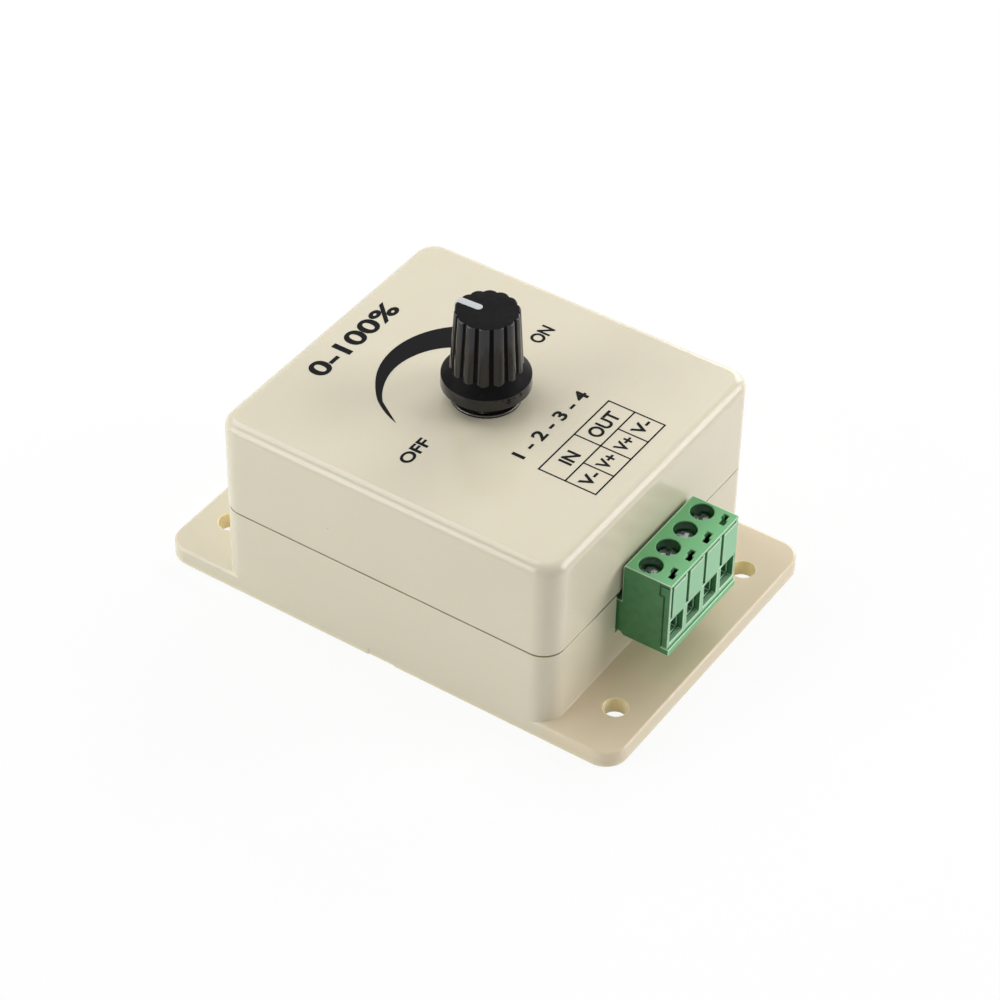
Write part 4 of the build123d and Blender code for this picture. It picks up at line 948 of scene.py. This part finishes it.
class DIMMER_OT_electronics(Operator):
    """Finish the circuit board, what is soldered to it and the screws inside"""
    bl_idname = "dimmer.electronics"
    bl_label = "Electronics"

    def execute(self, context):
        finishes = {
            "circuit_board": moulded("Solder mask", (0.02, 0.14, 0.05), 0.3, mottle=0.2, grain=0.006 * MM),
            "board_screws": metal("Zinc screws", ZINC, 0.25),
            "transistor_leadframe": metal("Tinned tab", TINNED, 0.3),
            "transistor_body": moulded("Transistor body", (0.012, 0.012, 0.012), 0.6, grain=0.01 * MM),
            "chip_body": moulded("Chip body", (0.015, 0.015, 0.016), 0.55, grain=0.008 * MM),
            "chip_pins": metal("Tinned pins", TINNED, 0.3),
            "big_capacitor": moulded("Capacitor sleeve", (0.01, 0.015, 0.05), 0.25, mottle=0.1),
            "small_capacitors": moulded("Dipped ceramic", (0.50, 0.19, 0.04), 0.3, mottle=0.15),
            "resistors": moulded("Resistor coat", (0.42, 0.28, 0.14), 0.3, mottle=0.15),
            "diodes": moulded("Diode body", (0.012, 0.012, 0.012), 0.4, mottle=0.1),
            "case_screws": metal("Zinc case screws", ZINC, 0.25),
            "pot_wafer": moulded("Phenolic wafer", (0.16, 0.06, 0.02), 0.5, mottle=0.25),
            "pot_terminals": metal("Tinned lugs", TINNED, 0.28),
            "pot_leads": moulded("Lead insulation", (0.45, 0.02, 0.015), 0.4, mottle=0.05),
            "pot_rotor": moulded("Rotor plastic", (0.015, 0.015, 0.016), 0.5, mottle=0.1),
            "pot_wiper": metal("Spring bronze", (0.62, 0.38, 0.18), 0.25),
        }
        for node, finish in finishes.items():
            dressed(node, finish, 0.05 * MM)
        return {"FINISHED"}


def lamp(name, place, aim, size, power, colour=(1, 1, 1)):
    """Soft rectangular lamp that faces a point."""
    light = bpy.data.lights.new(name, "AREA")
    light.shape = "RECTANGLE"
    light.size, light.size_y = size
    light.energy = power
    light.color = colour
    holder = link(name, light)
    facing = (Vector(aim) - Vector(place)).to_track_quat("-Z", "Y")
    holder.matrix_world = Matrix.Translation(place) @ facing.to_matrix().to_4x4()


class DIMMER_OT_studio(Operator):
    """Set up the floor, the world, the lamps and the camera"""
    bl_idname = "dimmer.studio"
    bl_label = "Studio"

    def execute(self, context):
        studio = by_name("dimmer_studio")
        scene = context.scene
        scene.view_settings.view_transform = "Standard"
        scene.world = bpy.data.worlds.new("Studio")
        scene.world.use_nodes = True
        wires = Wires(scene.world.node_tree)
        back = wires.tree.nodes["Background"]
        strength = wires.remap(wires.seen(), 0, 1, studio.sky, 1.0)
        wires.fill(back, {"Strength": strength, "Color": (1, 1, 1, 1)})

        floor_mesh = bpy.data.meshes.new("floor")
        reach, drop, glow_share = 4.0, 0.0002, 0.9
        corners = [(-reach, -reach, 0), (reach, -reach, 0), (reach, reach, 0), (-reach, reach, 0)]
        floor_mesh.from_pydata(corners, [], [(0, 1, 2, 3)])
        material, wires, shader = new_material("Pale floor")
        wires.fill(shader, {
            "Base Color": (0.96, 0.96, 0.96, 1), "Roughness": 0.7, "Specular IOR Level": 0.0})
        glow = wires.add("ShaderNodeEmission", {"Color": (1, 1, 1, 1), "Strength": 1.0})
        shown = wires.times(wires.seen(), glow_share)
        mixed = wires.add("ShaderNodeMixShader", {0: shown, 1: shader.outputs[0], 2: glow.outputs[0]})
        wires.fill(wires.tree.nodes["Material Output"], {"Surface": mixed.outputs[0]})
        floor = link("floor", floor_mesh, material)
        floor.location.z = -drop

        aim = Vector((0, 0, 0.02))
        lamp("Overhead", (0, 0.45, 0.65), aim, (0.6, 0.5), studio.overhead)
        lamp("Left", (-0.6, 0.45, 0.3), aim, (0.5, 0.5), studio.left, (0.95, 1.0, 1.0))
        lamp("Right", (0.75, 0.05, 0.35), aim, (0.5, 0.5), studio.right, (0.98, 1.0, 1.0))
        lamp("Front", (0.45, -0.6, 0.35), aim, (0.5, 0.5), studio.front)

        camera = bpy.data.cameras.new("Camera")
        camera.lens = studio.lens
        camera.sensor_width = 36
        camera.sensor_fit = "HORIZONTAL"
        camera.shift_x, camera.shift_y = studio.shift
        camera.clip_start = 0.01
        holder = link("Camera", camera)
        azimuth, run = studio.azimuth, math.cos(studio.elevation)
        back_way = Vector((math.sin(azimuth) * run, -math.cos(azimuth) * run, math.sin(studio.elevation)))
        right = Vector((math.cos(azimuth), math.sin(azimuth), 0))
        up = back_way.cross(right)
        level = Matrix((right, up, back_way)).transposed()
        turn = level @ Matrix.Rotation(studio.roll, 3, "Z")
        place = Vector(studio.aim) + back_way * studio.distance
        holder.matrix_world = Matrix.Translation(place) @ turn.to_4x4()
        scene.camera = holder
        return {"FINISHED"}


class DIMMER_PT_panel(Panel):
    """Panel with a button for each piece or group of pieces"""
    bl_idname = "DIMMER_PT_panel"
    bl_label = "Rotary dimmer"
    bl_space_type = "VIEW_3D"
    bl_region_type = "UI"
    bl_category = "Dimmer"

    def draw(self, context):
        for operator in OPERATORS:
            self.layout.operator(operator.bl_idname)
        for name in SETTINGS:
            box = self.layout.box()
            settings = by_name(name)
            for key in settings.__annotations__:
                box.prop(settings, key)


SETTINGS = {
    "dimmer_case": CaseSettings,
    "dimmer_print": PrintSettings,
    "dimmer_knob": KnobSettings,
    "dimmer_plug": PlugSettings,
    "dimmer_clamps": ClampSettings,
    "dimmer_studio": StudioSettings,
}
OPERATORS = (
    DIMMER_OT_studio, DIMMER_OT_case, DIMMER_OT_lid_print, DIMMER_OT_knob, DIMMER_OT_shaft_parts,
    DIMMER_OT_plug, DIMMER_OT_clamps, DIMMER_OT_electronics)


def register():
    for name, group in SETTINGS.items():
        bpy.utils.register_class(group)
        setattr(bpy.types.Scene, name, PointerProperty(type=group))
    for operator in OPERATORS:
        bpy.utils.register_class(operator)
    bpy.utils.register_class(DIMMER_PT_panel)


def unregister():
    bpy.utils.unregister_class(DIMMER_PT_panel)
    for operator in reversed(OPERATORS):
        bpy.utils.unregister_class(operator)
    for name, group in SETTINGS.items():
        delattr(bpy.types.Scene, name)
        bpy.utils.unregister_class(group)


def main():
    register()
    for operator in OPERATORS:
        family, action = operator.bl_idname.split(".")
        getattr(getattr(bpy.ops, family), action)()


if __name__ == "__main__":
    main()
